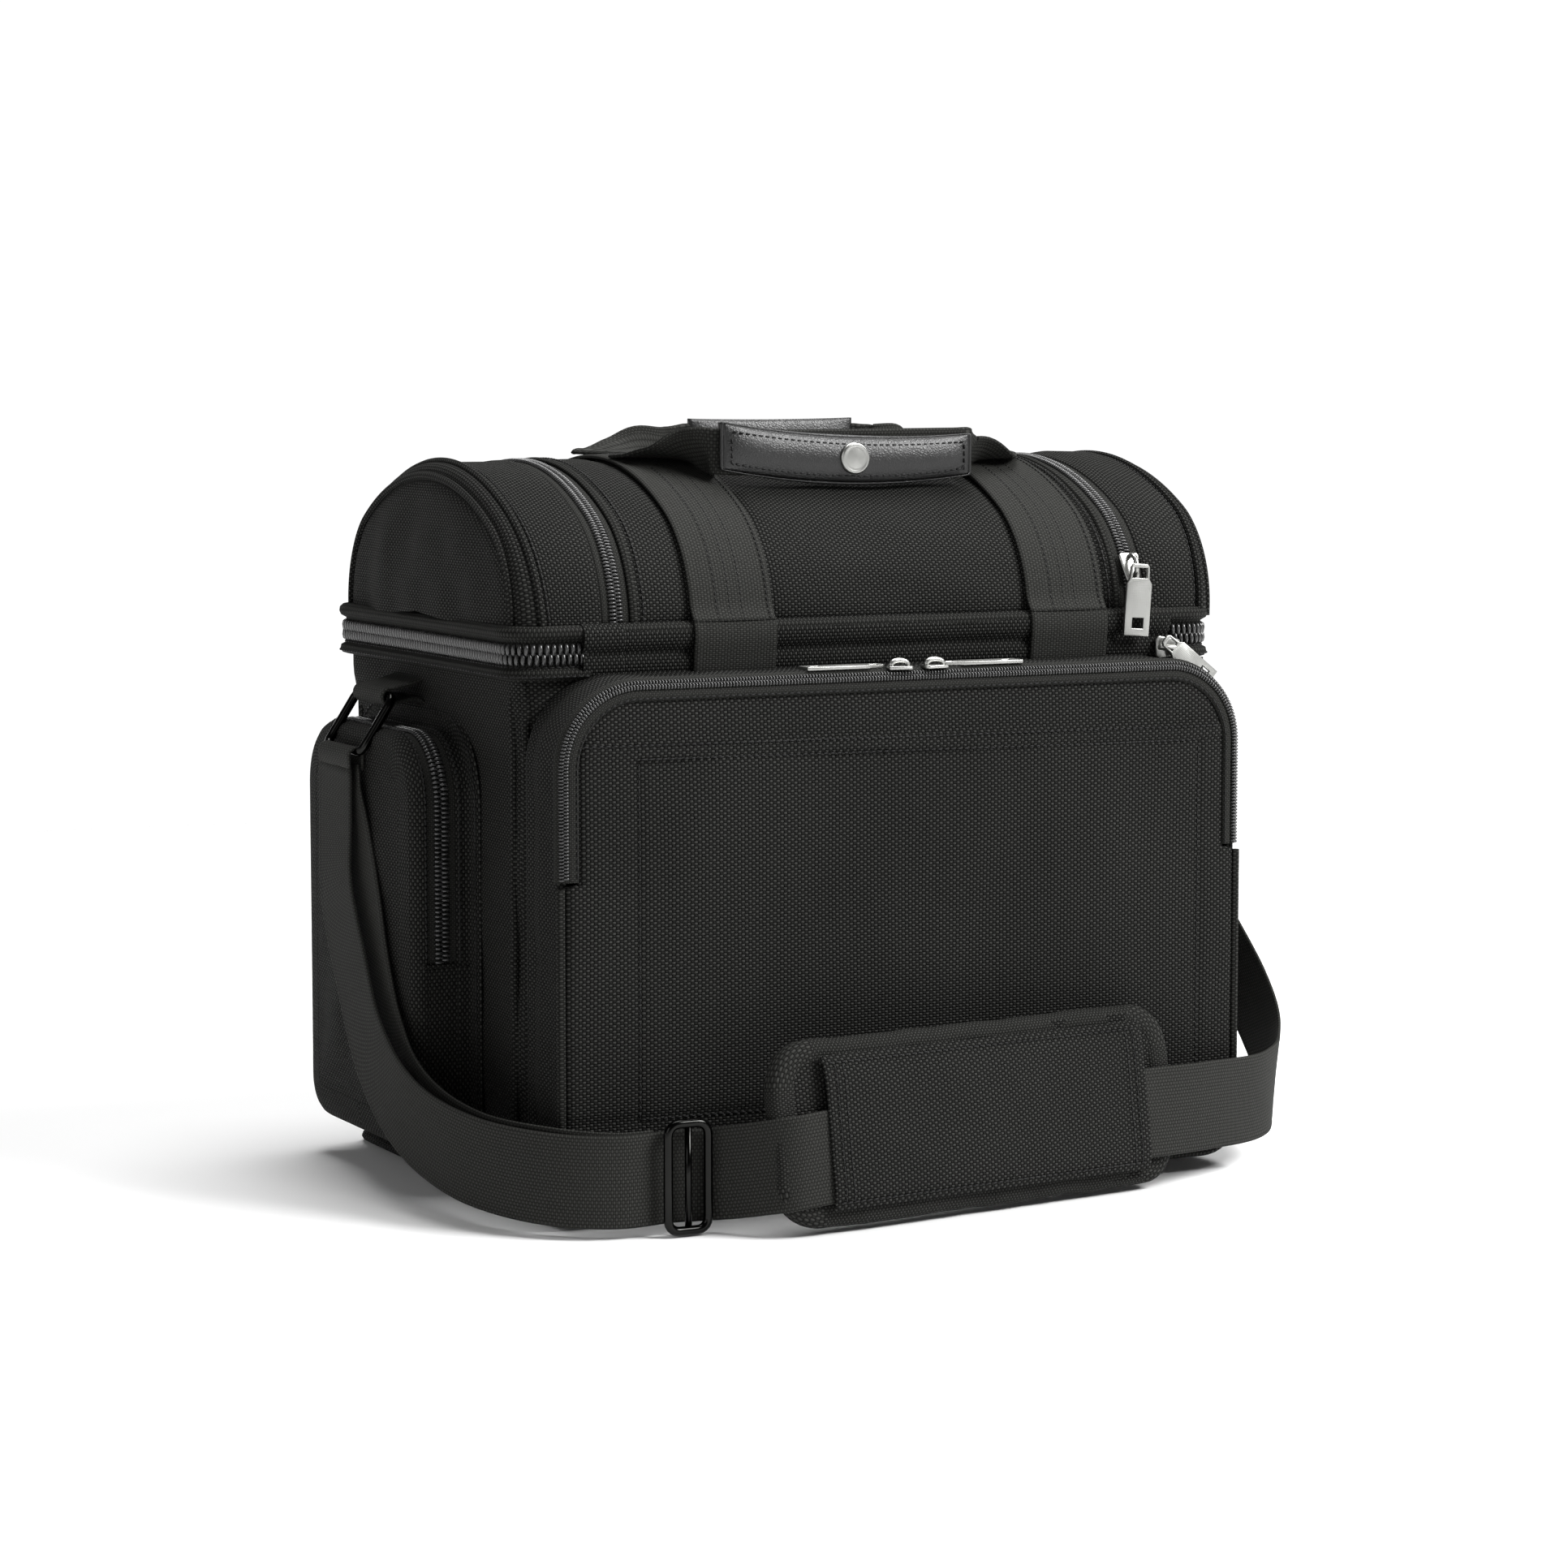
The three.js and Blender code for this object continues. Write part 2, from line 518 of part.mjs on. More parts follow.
const WIDE_PULL = { length: 31.5, width: 14 };
function zipPulls() {
  const ridge = [POCKET_FACE + 2, POCKET.top + GAP];
  for (const [hand, side] of [["left", -1], ["right", 1]]) {
    zipPull(
      `front_${hand}`,
      [8, 12, 4.5],
      [side * 9, ridge[0], ridge[1]],
      [-90, 0, side * 90],
      [side * 16.5, ridge[0] + 5, ridge[1] + 1.6],
      [-90, 0, side * 90],
    );
    zipPull(
      `${hand}_pocket`,
      [8, 12, 4.5],
      [side * (HALF_X + SIDE_ZIP_PLANE), SIDE_POCKET.back + GAP, 131],
      [0, 0, 180],
      [side * (HALF_X + SIDE_ZIP_PLANE), SIDE_POCKET.back + 7, 122],
      [0, 0, 180],
    );
  }
  const bandFace = -HALF_Y - BAND_DEPTH - GAP;
  zipPull(
    "main",
    [11, 13, 4],
    [ZIP_END - 3, bandFace, SPLIT - 5.7],
    [0, -90, 0],
    [ZIP_END - 4, bandFace - 6, SPLIT - 4.4],
    [0, -54, 0],
    { length: 29, width: 10 },
  );
  const turn = -turnAtHeight(281);
  const seat = archPoint(turn, 1.2 + GAP);
  zipPull(
    "dome",
    [8, 13, 4.5],
    [ARCH_ZIP_X, seat.x, seat.y],
    [-(90 + turn), 0, 0],
    [ARCH_ZIP_X, -HALF_Y - BAND_DEPTH - 3.6, 282],
    [0, 0, 0],
    WIDE_PULL,
  );
}

// ---------- shoulder strap ----------
// The strap hangs from the rings flat to the sides, turns on edge and stands on the floor in front.
const UP = [0, 0, 1];
const ALONG = [0, -1, 0];
const ringFoot = [
  RING.x + (RING.length - RING.bar / 2) * Math.cos(RING.tilt * DEG),
  RING.z - (RING.length - RING.bar / 2) * Math.sin(RING.tilt * DEG),
];

const MAIN_STRAP = [
  { at: [ringFoot[0] + 3, RING.y, ringFoot[1] - 5], across: ALONG },
  { at: [ringFoot[0] + 3, RING.y - 2, 180], across: ALONG },
  { at: [215, 18, 160], across: [0, -0.95, 0.3] },
  { at: [219, -6, 132], across: [0, -0.8, 0.6] },
  { at: [222, -40, 98], across: [0, -0.65, 0.75] },
  { at: [222, -80, 62], across: [0, -0.5, 0.85] },
  { at: [212, -112, 38], across: [0, -0.2, 1] },
  { at: [188, -142, 33], across: UP },
  { at: [140, -169, 35], across: UP },
  { at: [60, -187.2, 36], across: UP },
  { at: [0, -195.1, 35.5], across: UP },
  { at: [-60, -203, 35], across: UP },
  { at: [-92, -201, 33], across: UP },
  { at: [-106, -183, 29], across: UP },
  { at: [-117, -170.6, 25.5], across: UP },
  { at: [-134, -168, 25.5], across: UP },
  { at: [-160, -168, 25], across: UP },
  { at: [-186, -152, 26], across: UP },
  { at: [-208, -112, 30], across: [0, -0.1, 1] },
  { at: [-217, -62, 42], across: [0, -0.35, 0.9] },
  { at: [-217, -18, 66], across: [0, -0.65, 0.75] },
  { at: [-216, 8, 100], across: [0, -0.83, 0.55] },
  { at: [-215.5, 27, 135], across: [0, -0.95, 0.3] },
  { at: [-214, 31, 168], across: ALONG },
  { at: [-ringFoot[0] - 3, RING.y, ringFoot[1] - 5], across: ALONG },
];

const STRAP_TAIL = [
  { at: [-ringFoot[0] + 1, RING.y, ringFoot[1] - 7], across: ALONG },
  { at: [-ringFoot[0] + 1, RING.y - 2, 179], across: ALONG },
  { at: [-209.4, 19, 157], across: [0, -0.95, 0.3] },
  { at: [-209.4, 7, 130], across: [0, -0.95, 0.3] },
  { at: [-209.4, -4, 100], across: [0, -0.92, 0.35] },
  { at: [-209.6, -22, 70], across: [0, -0.7, 0.7] },
  { at: [-210, -54, 46], across: [0, -0.4, 0.9] },
  { at: [-203, -108, 31], across: [0, -0.1, 1] },
  { at: [-182, -146, 27], across: UP },
  { at: [-159, -163, 25.5], across: UP },
  { at: [-141.8, -164, 25.5], across: UP },
];

function shoulderStrap() {
  add("shoulder_strap", ribbon(MAIN_STRAP, 1.8, 80), WEB);
  add("strap_tail", ribbon(STRAP_TAIL, 1.8, 30), WEB);
  const frame = roundedRect(-11.5, -25.5, 11.5, 25.5, 5);
  frame.holes.push(new THREE.Path(roundedRect(-8, -22, 8, 22, 2.5).getPoints(4)));
  const slide = drawnOut(frame, "y", -1.8, 1.8, { curveSegments: 4 });
  slide.translate(-129.5, -174, 25.9);
  add("strap_slide", slide, BLACK_METAL);
}

function shoulderPad() {
  const { length, height, thickness, radius, turn, lean } = PAD;
  const outline = roundedRect(-length / 2, 0, length / 2, height, radius);
  const pad = drawnOut(outline, "y", 0, thickness, { curveSegments: 4 });
  pad.rotateX(-lean * DEG);
  pad.rotateZ(turn * DEG);
  pad.translate(PAD_FOOT[0], PAD_FOOT[1], 3.4);
  add("shoulder_pad", pad, NYLON);
}

bodyWalls();
bottom();
liner();
zipBands();
frontPocket();
sidePockets();
strapAnchors();
upperCompartment();
lid();
handle("front", FRONT_HANDLE);
handle("rear", REAR_HANDLE);
wrapFlap();
zipPulls();
shoulderStrap();
shoulderPad();

bag.position.y = SHIFT_Y;
export default bag;
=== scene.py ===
"""The looks of the flight bag: sewn nylon, webbing, coil zips, leather and metal round the CAD frame.

Shapes are worked out in millimetres in the drawing frame of part.mjs, where Y = 0 is the middle of
the main body, and are put in place in metres by to_world().
"""

import math

import bmesh
import bpy
import numpy as np
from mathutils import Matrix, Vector, noise


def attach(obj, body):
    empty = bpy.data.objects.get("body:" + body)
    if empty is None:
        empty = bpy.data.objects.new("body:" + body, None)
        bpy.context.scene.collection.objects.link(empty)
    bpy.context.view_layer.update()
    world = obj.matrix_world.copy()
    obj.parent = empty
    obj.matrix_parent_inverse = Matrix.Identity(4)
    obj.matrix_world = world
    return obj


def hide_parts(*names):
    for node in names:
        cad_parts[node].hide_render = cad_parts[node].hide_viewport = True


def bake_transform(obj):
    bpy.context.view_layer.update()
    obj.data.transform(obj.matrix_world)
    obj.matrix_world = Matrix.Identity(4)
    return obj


# ---------- driving dimensions, in millimetres, as in part.mjs ----------
SIDES = (("left", -1), ("right", 1))
SHIFT_Y = 16.3
HALF_X = 175
HALF_Y = 107.5
CORNER = 14
SPLIT = 250
SPRING = 260
APEX = 332
SIDE_RADIUS = 58
SIDE_CENTRE = HALF_Y - SIDE_RADIUS
RISE = APEX - SPRING
TOP_RADIUS = (SIDE_CENTRE**2 + RISE**2 - SIDE_RADIUS**2) / (2 * (RISE - SIDE_RADIUS))
TOP_CENTRE = APEX - TOP_RADIUS
MEET_ANGLE = math.atan2(SIDE_CENTRE, SPRING - TOP_CENTRE)
ARCH_ZIP_X = 132.8
LID_HALF = 126
LID_BACK_HEIGHT = 278
ZIP_END = 152
STRIP_WIDTH = 41
STRIP_X = (-77, 95.5)
BAND_BULGE, WALL_BULGE = 6.5, 4.4
BULGE_START, BULGE_RUN = 130, 40
BULGE_FRONT, BULGE_BACK = 0.7, 0.3
POCKET_LEFT, POCKET_RIGHT = -176, 170
POCKET_BOTTOM, POCKET_TOP = 7, 240
POCKET_FACE = -(HALF_Y + 36)
POCKET_TOP_RADIUS, POCKET_LOW_RADIUS = 38, 16
POCKET_FOLD = 152
HEM_LEFT_Z, HEM_RIGHT_Z, HEM_DEPTH = 214, 211, 8
SLIP_LEFT, SLIP_RIGHT, SLIP_LOW = -139, 147, 47
SIDE_FRONT, SIDE_BACK, SIDE_LOW, SIDE_TOP = -44, 94, 18, 210
SIDE_DEPTH, SIDE_RADIUS_TOP, SIDE_RADIUS_LOW = 31, 32, 19.2
SIDE_ZIP = 16
SIDE_FOLD = 106
RING_Y, RING_X, RING_Z = 30, 194, 224
RING_WIDTH, RING_LENGTH, RING_BAR, RING_TILT = 50, 34, 4.4, math.radians(57)
STRAP_WIDTH = 41
PAD_LENGTH, PAD_HEIGHT, PAD_THICKNESS, PAD_RADIUS = 212, 82, 11, 20
PAD_TURN, PAD_LEAN = math.radians(7.5), math.radians(9)
PAD_FOOT = (15, -190.4, 3.4)
PAD_STRETCH = 1.06
PAD_EDGE_IN, PAD_EDGE_HALF = 6.6, 6.8

# ---------- camera: place in metres, lens in millimetres ----------
CAMERA_AT = (-0.8912, -1.7786, 0.3793)
CAMERA_AZIMUTH = math.radians(-26.5)
CAMERA_PITCH = math.radians(5.8)
LENS = 96.08

# ---------- studio: floor radius in metres, brightness and edges of the bright band and the sky ----------
FLOOR_REACH = 1.5
BAND_LEVEL, SKY_LEVEL = 1.05, 0.08
BAND_TOP, SKY_START = 0.1, 0.24

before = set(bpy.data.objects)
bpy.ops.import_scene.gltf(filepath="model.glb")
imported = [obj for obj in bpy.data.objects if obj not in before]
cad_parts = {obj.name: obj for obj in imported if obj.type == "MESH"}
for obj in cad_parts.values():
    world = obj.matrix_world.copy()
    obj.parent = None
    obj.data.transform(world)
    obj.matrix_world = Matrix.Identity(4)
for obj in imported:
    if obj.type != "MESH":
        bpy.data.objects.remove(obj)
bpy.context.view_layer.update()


def place_camera():
    data = bpy.data.cameras.new("camera")
    data.lens = LENS
    data.sensor_width = 36
    data.clip_end = 20
    camera = bpy.data.objects.new("camera", data)
    bpy.context.scene.collection.objects.link(camera)
    camera.location = CAMERA_AT
    ahead = Vector(
        (
            -math.sin(CAMERA_AZIMUTH) * math.cos(CAMERA_PITCH),
            math.cos(CAMERA_AZIMUTH) * math.cos(CAMERA_PITCH),
            -math.sin(CAMERA_PITCH),
        )
    )
    camera.rotation_euler = ahead.to_track_quat("-Z", "Y").to_euler()
    bpy.context.scene.camera = camera


# ---------- materials ----------
CLOTH_ROUGH = 0.72


class Shader:
    """A material under construction, with short ways to add the nodes it needs."""

    def __init__(self, name):
        self.material = bpy.data.materials.new(name)
        self.material.use_nodes = True
        self.tree = self.material.node_tree
        self.out = self.tree.nodes["Principled BSDF"]

    def set(self, socket, value):
        """Gives one of the material's own sockets a value, or what another node works out."""
        self.feed(self.out.inputs[socket], value)

    def feed(self, socket, value):
        if isinstance(value, bpy.types.NodeSocket):
            self.tree.links.new(value, socket)
        else:
            socket.default_value = value

    def math(self, operation, *values):
        node = self.tree.nodes.new("ShaderNodeMath")
        node.operation = operation
        for socket, value in zip(node.inputs, values):
            self.feed(socket, value)
        return node.outputs[0]

    def mix(self, share, low, high):
        node = self.tree.nodes.new("ShaderNodeMix")
        node.data_type = "RGBA"
        self.feed(node.inputs["Factor"], share)
        self.feed(node.inputs[6], low)
        self.feed(node.inputs[7], high)
        return node.outputs[2]

    def span(self, value, low, high):
        """value, from 0 to 1, moved to low..high."""
        return self.math("MULTIPLY_ADD", value, high - low, low)

    def where(self):
        """The shaded point in the piece's own space."""
        return self.tree.nodes.new("ShaderNodeTexCoord").outputs["Object"]

    def uv(self, scale):
        """The piece's own surface coordinates, in millimetres over scale."""
        source = self.tree.nodes.new("ShaderNodeUVMap")
        source.uv_map = "cloth"
        split = self.tree.nodes.new("ShaderNodeSeparateXYZ")
        self.feed(split.inputs[0], source.outputs[0])
        return [self.math("DIVIDE", split.outputs[i], scale[i]) for i in (0, 1)]

    def noise(self, scale, detail):
        node = self.tree.nodes.new("ShaderNodeTexNoise")
        self.feed(node.inputs["Scale"], scale)
        self.feed(node.inputs["Detail"], detail)
        self.feed(node.inputs["Vector"], self.where())
        return node.outputs["Fac"]

    def bump(self, height, distance, strength, under=None):
        """Normals of a relief as deep as distance, in millimetres, laid over the normals of another."""
        node = self.tree.nodes.new("ShaderNodeBump")
        self.feed(node.inputs["Strength"], strength)
        self.feed(node.inputs["Distance"], distance * 0.001)
        self.feed(node.inputs["Height"], height)
        if under is not None:
            self.feed(node.inputs["Normal"], under)
        return node.outputs[0]

    def weave(self, across, along):
        """Height from 0 to 1 of threads that pass over and under each other, one to each cell."""
        u, v = self.uv((across, along))
        cell = self.math("ADD", self.math("FLOOR", u), self.math("FLOOR", v))
        over = self.math("GREATER_THAN", self.math("PINGPONG", cell, 1), 0.5)
        round_u = self.math("ABSOLUTE", self.math("SINE", self.math("MULTIPLY", u, math.pi)))
        round_v = self.math("ABSOLUTE", self.math("SINE", self.math("MULTIPLY", v, math.pi)))
        first = self.thread(round_u, round_v)
        second = self.thread(round_v, round_u)
        gain = self.math("SUBTRACT", second, first)
        return self.math("MULTIPLY_ADD", gain, over, first), over

    def thread(self, profile, length):
        """A thread, round across and arched along its length."""
        return self.math("MULTIPLY", self.math("POWER", profile, 0.5), self.span(length, 0.35, 1))


def grey(value, warmth=0.0):
    """A grey that turns towards brown with its warmth."""
    return (value * (1 - 0.4 * warmth), value, value * (1 - 4 * warmth), 1)


def cloth_material(
    name, dark, light, across, along, depth, gloss=0.16, warmth=0.025, patch=0.2, floor=0.3
):
    """Woven cloth: painted shade in the gaps between threads, so their crowns are lighter, with slow changes
    of tone over the piece.
    """
    shader = Shader(name)
    height, over = shader.weave(across, along)
    slow = shader.noise(14, 4)
    fine = shader.noise(900, 1)
    # painted shade: the thread height darkens the colour in the gaps between threads
    tone = shader.math("MULTIPLY", height, shader.span(slow, 1 - patch, 1 + patch))
    tone = shader.math("MULTIPLY", tone, shader.span(fine, 0.75, 1.2))
    tone = shader.math("MULTIPLY", tone, shader.span(over, floor, 1))
    shader.set("Base Color", shader.mix(tone, grey(dark, warmth), grey(light, warmth)))
    wear = shader.math("ADD", height, slow)
    shader.set("Roughness", shader.span(wear, CLOTH_ROUGH - 0.12, CLOTH_ROUGH + 0.04))
    folds = shader.bump(slow, 1.2, 0.25)
    shader.set("Normal", shader.bump(height, depth, 0.9, folds))
    shader.set("Specular IOR Level", shader.span(tone, 0.02, gloss))
    return shader.material


def leather_material():
    """Smooth leather: fine pores between cells, and slow wear."""
    shader = Shader("smooth_leather")
    grain = shader.tree.nodes.new("ShaderNodeTexVoronoi")
    grain.feature = "DISTANCE_TO_EDGE"
    shader.feed(grain.inputs["Scale"], 700)
    shader.feed(grain.inputs["Vector"], shader.where())
    pores = shader.math("MINIMUM", shader.math("MULTIPLY", grain.outputs[0], 3.0), 1.0)
    wear = shader.noise(30, 5)
    shader.set("Base Color", shader.mix(shader.math("MULTIPLY", pores, wear), grey(0.0008), grey(0.004)))
    shader.set("Roughness", shader.span(wear, 0.32, 0.48))
    shader.set("Normal", shader.bump(pores, 0.12, 0.6))
    shader.set("Specular IOR Level", 0.5)
    return shader.material


def metal_material(name, low, high, rough, depth, checked=False):
    """Metal with a cloudy tone and fine grain, or with a checked relief."""
    shader = Shader(name)
    shader.set("Metallic", 1.0)
    cloud = shader.noise(60, 4)
    shader.set("Base Color", shader.mix(cloud, grey(low, 0.01), grey(high, 0.01)))
    shader.set("Roughness", shader.span(cloud, rough * 0.8, rough * 1.25))
    if checked:
        height = shader.weave(0.8, 0.8)[0]
    else:
        height = shader.noise(500, 2)
    shader.set("Normal", shader.bump(height, depth, 0.5))
    return shader.material


def plastic_material(name, low, high, rough, depth, gloss=0.3):
    """Plastic, thread or board with a cloudy tone and fine grain."""
    shader = Shader(name)
    cloud = shader.noise(160, 4)
    shader.set("Base Color", shader.mix(cloud, grey(low), grey(high)))
    shader.set("Roughness", shader.span(cloud, rough * 0.75, rough * 1.25))
    shader.set("Normal", shader.bump(shader.noise(1500, 2), depth, 0.4))
    shader.set("Specular IOR Level", gloss)
    return shader.material


NYLON = cloth_material("ballistic_nylon", 0.0002, 0.028, 1.6, 1.2, 0.8, gloss=0.36, patch=0.3)
FACE_NYLON = cloth_material("pocket_nylon", 0.0002, 0.026, 1.75, 1.2, 0.8, gloss=0.36, patch=0.3)
WEBBING = cloth_material("flat_webbing", 0.005, 0.032, 1.5, 0.9, 0.2, gloss=0.3, patch=0.12, floor=0.55)
TAPE = cloth_material("zip_tape", 0.004, 0.026, 0.9, 0.9, 0.15, gloss=0.25, patch=0.1, floor=0.6)
BINDING = cloth_material("ribbed_binding", 0.002, 0.027, 2.2, 1.0, 0.35, gloss=0.25, patch=0.15, floor=0.4)
PAD_BINDING = cloth_material("pad_binding", 0.002, 0.03, 1.25, 0.9, 0.4, gloss=0.3, patch=0.15, floor=0.4)
LINING = cloth_material("smooth_lining", 0.02, 0.05, 0.35, 0.35, 0.05, warmth=-0.01, floor=0.8)
LEATHER = leather_material()
NICKEL = metal_material("satin_nickel", 0.3, 0.42, 0.32, 0.02)
PULL_NICKEL = metal_material("checked_nickel", 0.3, 0.4, 0.38, 0.08, checked=True)
BLACK_METAL = metal_material("black_enamel", 0.012, 0.02, 0.16, 0.01)
COIL = plastic_material("coil_nylon", 0.008, 0.036, 0.26, 0.02, gloss=0.6)
THREAD = plastic_material("sewing_thread", 0.001, 0.004, 0.6, 0.05)
BOARD = plastic_material("stiff_board", 0.004, 0.008, 0.6, 0.03)


# ---------- mesh building ----------
class Geometry:
    """Points in millimetres with faces and surface coordinates, gathered before they become an object."""

    def __init__(self):
        self.points = []
        self.faces = []
        self.uv = []
        self.count = 0

    def extend(self, points, faces, uv):
        points = np.asarray(points, float).reshape(-1, 3)
        self.points.append(points)
        self.faces += [tuple(int(i) + self.count for i in face) for face in faces]
        self.uv += [tuple(pair) for pair in uv]
        self.count += len(points)
        return self

    def add(self, other):
        return self.extend(np.concatenate(other.points), other.faces, other.uv)


def arc_lengths(points):
    steps = np.linalg.norm(np.diff(points, axis=0), axis=1)
    return np.concatenate([[0], np.cumsum(steps)])


def grid(rows, wrap=False, flip=False, planar=None):
    """A sheet through rows of points. wrap joins the last column to the first. planar names the two
    axes that the weave follows, for a flat panel."""
    rows = np.asarray(rows, float)
    count, width, _ = rows.shape
    columns = width if wrap else width - 1
    middle = rows[count // 2]
    if wrap:
        middle = np.vstack([middle, middle[:1]])
    along_u = arc_lengths(middle)
    along_v = arc_lengths(rows[:, width // 2])
    faces = []
    uv = []
    for i in range(count - 1):
        for j in range(columns):
            k = (j + 1) % width
            corners = [(i, j, j), (i, k, j + 1), (i + 1, k, j + 1), (i + 1, j, j)]
            if flip:
                corners.reverse()
            faces.append([r * width + c for r, c, _ in corners])
            for r, c, u in corners:
                if planar:
                    uv.append((rows[r, c][planar[0]], rows[r, c][planar[1]]))
                else:
                    uv.append((along_u[u], along_v[r]))
    return Geometry().extend(rows.reshape(-1, 3), faces, uv)


def sweep(path, side, out, profile, ring=False, closed=True, flip=False, caps=False):
    """A profile of (side, out) pairs drawn along a path. ring closes the path on itself, and closed
    closes the profile."""
    path, side, out = (np.asarray(a, float) for a in (path, side, out))
    profile = np.asarray(profile, float)
    if profile.ndim == 2:
        profile = np.repeat(profile[None], len(path), axis=0)
    rows = path[:, None] + side[:, None] * profile[..., 0:1] + out[:, None] * profile[..., 1:2]
    if ring:
        rows = np.concatenate([rows, rows[:1]])
    result = grid(rows, wrap=closed, flip=flip)
    if caps and closed:
        width = rows.shape[1]
        for start, order in ((0, -1), ((len(rows) - 1) * width, 1)):
            face = [start + i for i in range(width)][::order]
            if flip:
                face.reverse()
            result.faces.append(tuple(face))
            result.uv += [(profile[0][i % width][0], profile[0][i % width][1]) for i in range(width)]
    return result


def scatter(template, faces, centres, first, second, third):
    """Copies of a small shape, whose coordinates follow the three directions given at each centre."""
    template = np.asarray(template, float)
    points = (
        centres[:, None]
        + first[:, None] * template[None, :, 0:1]
        + second[:, None] * template[None, :, 1:2]
        + third[:, None] * template[None, :, 2:3]
    )
    size = len(template)
    every = [[i + size * k for i in face] for k in range(len(centres)) for face in faces]
    uv = [(template[i][0], template[i][1]) for k in range(len(centres)) for face in faces for i in face]
    return Geometry().extend(points.reshape(-1, 3), every, uv)


def bead(rings, sides=6):
    """A capsule-like shape: rings of (along, radius, lift), closed at both ends."""
    points = []
    for along, radius, lift in rings:
        for i in range(sides):
            angle = 2 * math.pi * i / sides
            points.append((along, radius * math.cos(angle), lift + radius * math.sin(angle)))
    faces = []
    for r in range(len(rings) - 1):
        for i in range(sides):
            k = (i + 1) % sides
            faces.append([r * sides + i, r * sides + k, (r + 1) * sides + k, (r + 1) * sides + i])
    faces.append(list(range(sides))[::-1])
    faces.append([(len(rings) - 1) * sides + i for i in range(sides)])
    return points, faces


def unit(vectors):
    vectors = np.asarray(vectors, float)
    length = np.linalg.norm(vectors, axis=-1, keepdims=True)
    return vectors / np.maximum(length, 1e-9)


def spaced(path, pitch, *others, offset=0.0):
    """Points at an even pitch along a path, with the directions given along it, and the tangents."""
    path = np.asarray(path, float)
    lengths = arc_lengths(path)
    count = int((lengths[-1] - offset) / pitch)
    at = offset + pitch * (np.arange(count) + 0.5)

    def pick(values):
        values = np.asarray(values, float)
        return np.stack([np.interp(at, lengths, values[:, i]) for i in range(3)], 1)

    points = pick(path)
    ahead = unit(pick(np.gradient(path, axis=0)))
    return (points, ahead, *[unit(pick(v)) for v in others])


def stitches(path, out, pitch=3.4, length=2.5, radius=0.38):
    """A row of sewn stitches along a path, lying on the surface whose outward directions are given."""
    points, ahead, up = spaced(path, pitch, out)
    half = length / 2
    rings = [
        (-half, 0.4 * radius, -0.3),
        (-0.7 * half, radius, 0.05),
        (0.7 * half, radius, 0.05),
        (half, 0.4 * radius, -0.3),
    ]
    shape, faces = bead(rings)
    return scatter(shape, faces, points, ahead, np.cross(up, ahead), up)


def coil_rows(path, side, out, width, pitch, hands=(-1, 1)):
    """The two rows of a coil zip's teeth, one on each side of the path."""
    result = Geometry()
    radius = 0.34 * pitch
    reach = width / 2
    rings = [
        (-0.06 * width, 0.5 * radius, 0.1),
        (0.02 * width, radius, 0.45),
        (0.5 * reach, 1.05 * radius, 0.75),
        (0.86 * reach, radius, 0.4),
        (reach, 0.55 * radius, -0.2),
    ]
    shape, faces = bead(rings)
    for hand in hands:
        points, ahead, across, up = spaced(path, pitch, side, out, offset=0 if hand > 0 else pitch / 2)
        result.add(scatter(shape, faces, points, hand * across, ahead, up))
    return result


def tube(path, side, out, radius, sides=8, ring=False, squash=1.0):
    angles = 2 * math.pi * np.arange(sides) / sides
    profile = np.stack([radius * np.cos(angles), radius * squash * np.sin(angles)], 1)
    return sweep(path, side, out, profile, ring=ring, caps=not ring)


def to_world(points):
    moved = np.array(points, float)
    moved[:, 1] += SHIFT_Y
    return moved * 0.001


def build(name, geometry, material, body=None, replaces=(), solid=0.0):
    """Turns gathered geometry into an object that rides on a body."""
    mesh = bpy.data.meshes.new(name)
    mesh.from_pydata(to_world(np.concatenate(geometry.points)), [], geometry.faces)
    layer = mesh.uv_layers.new(name="cloth")
    layer.data.foreach_set("uv", np.asarray(geometry.uv, np.float32).ravel())
    close_seams(mesh)
    mesh.materials.append(material)
    mesh.shade_smooth()
    item = bpy.data.objects.new(name, mesh)
    bpy.context.scene.collection.objects.link(item)
    if solid:
        thicken(item, solid)
    if body:
        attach(item, body)
    if replaces:
        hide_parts(*replaces)
    return item


def close_seams(mesh):
    """Joins points that meet, and turns the faces of closed shapes outwards."""
    work = bmesh.new()
    work.from_mesh(mesh)
    bmesh.ops.remove_doubles(work, verts=work.verts, dist=1e-6)
    if all(len(edge.link_faces) == 2 for edge in work.edges):
        bmesh.ops.recalc_face_normals(work, faces=work.faces)
    work.to_mesh(mesh)
    work.free()


def thicken(item, depth):
    """Gives a sheet its thickness, inwards from the face that is modelled."""
    modifier = item.modifiers.new("thickness", "SOLIDIFY")
    modifier.thickness = depth * 0.001
    modifier.offset = -1
    graph = bpy.context.evaluated_depsgraph_get()
    result = bpy.data.meshes.new_from_object(item.evaluated_get(graph))
    item.modifiers.clear()
    item.data = result
    result.shade_smooth()


# ---------- outlines ----------
def corner_arc(centre, radius, start, stop, step=3.0):
    count = max(3, int(abs(math.radians(stop - start)) * radius / step) + 1)
    angles = np.radians(np.linspace(start, stop, count))
    normals = np.stack([np.cos(angles), np.sin(angles)], 1)
    return np.asarray(centre) + radius * normals, normals


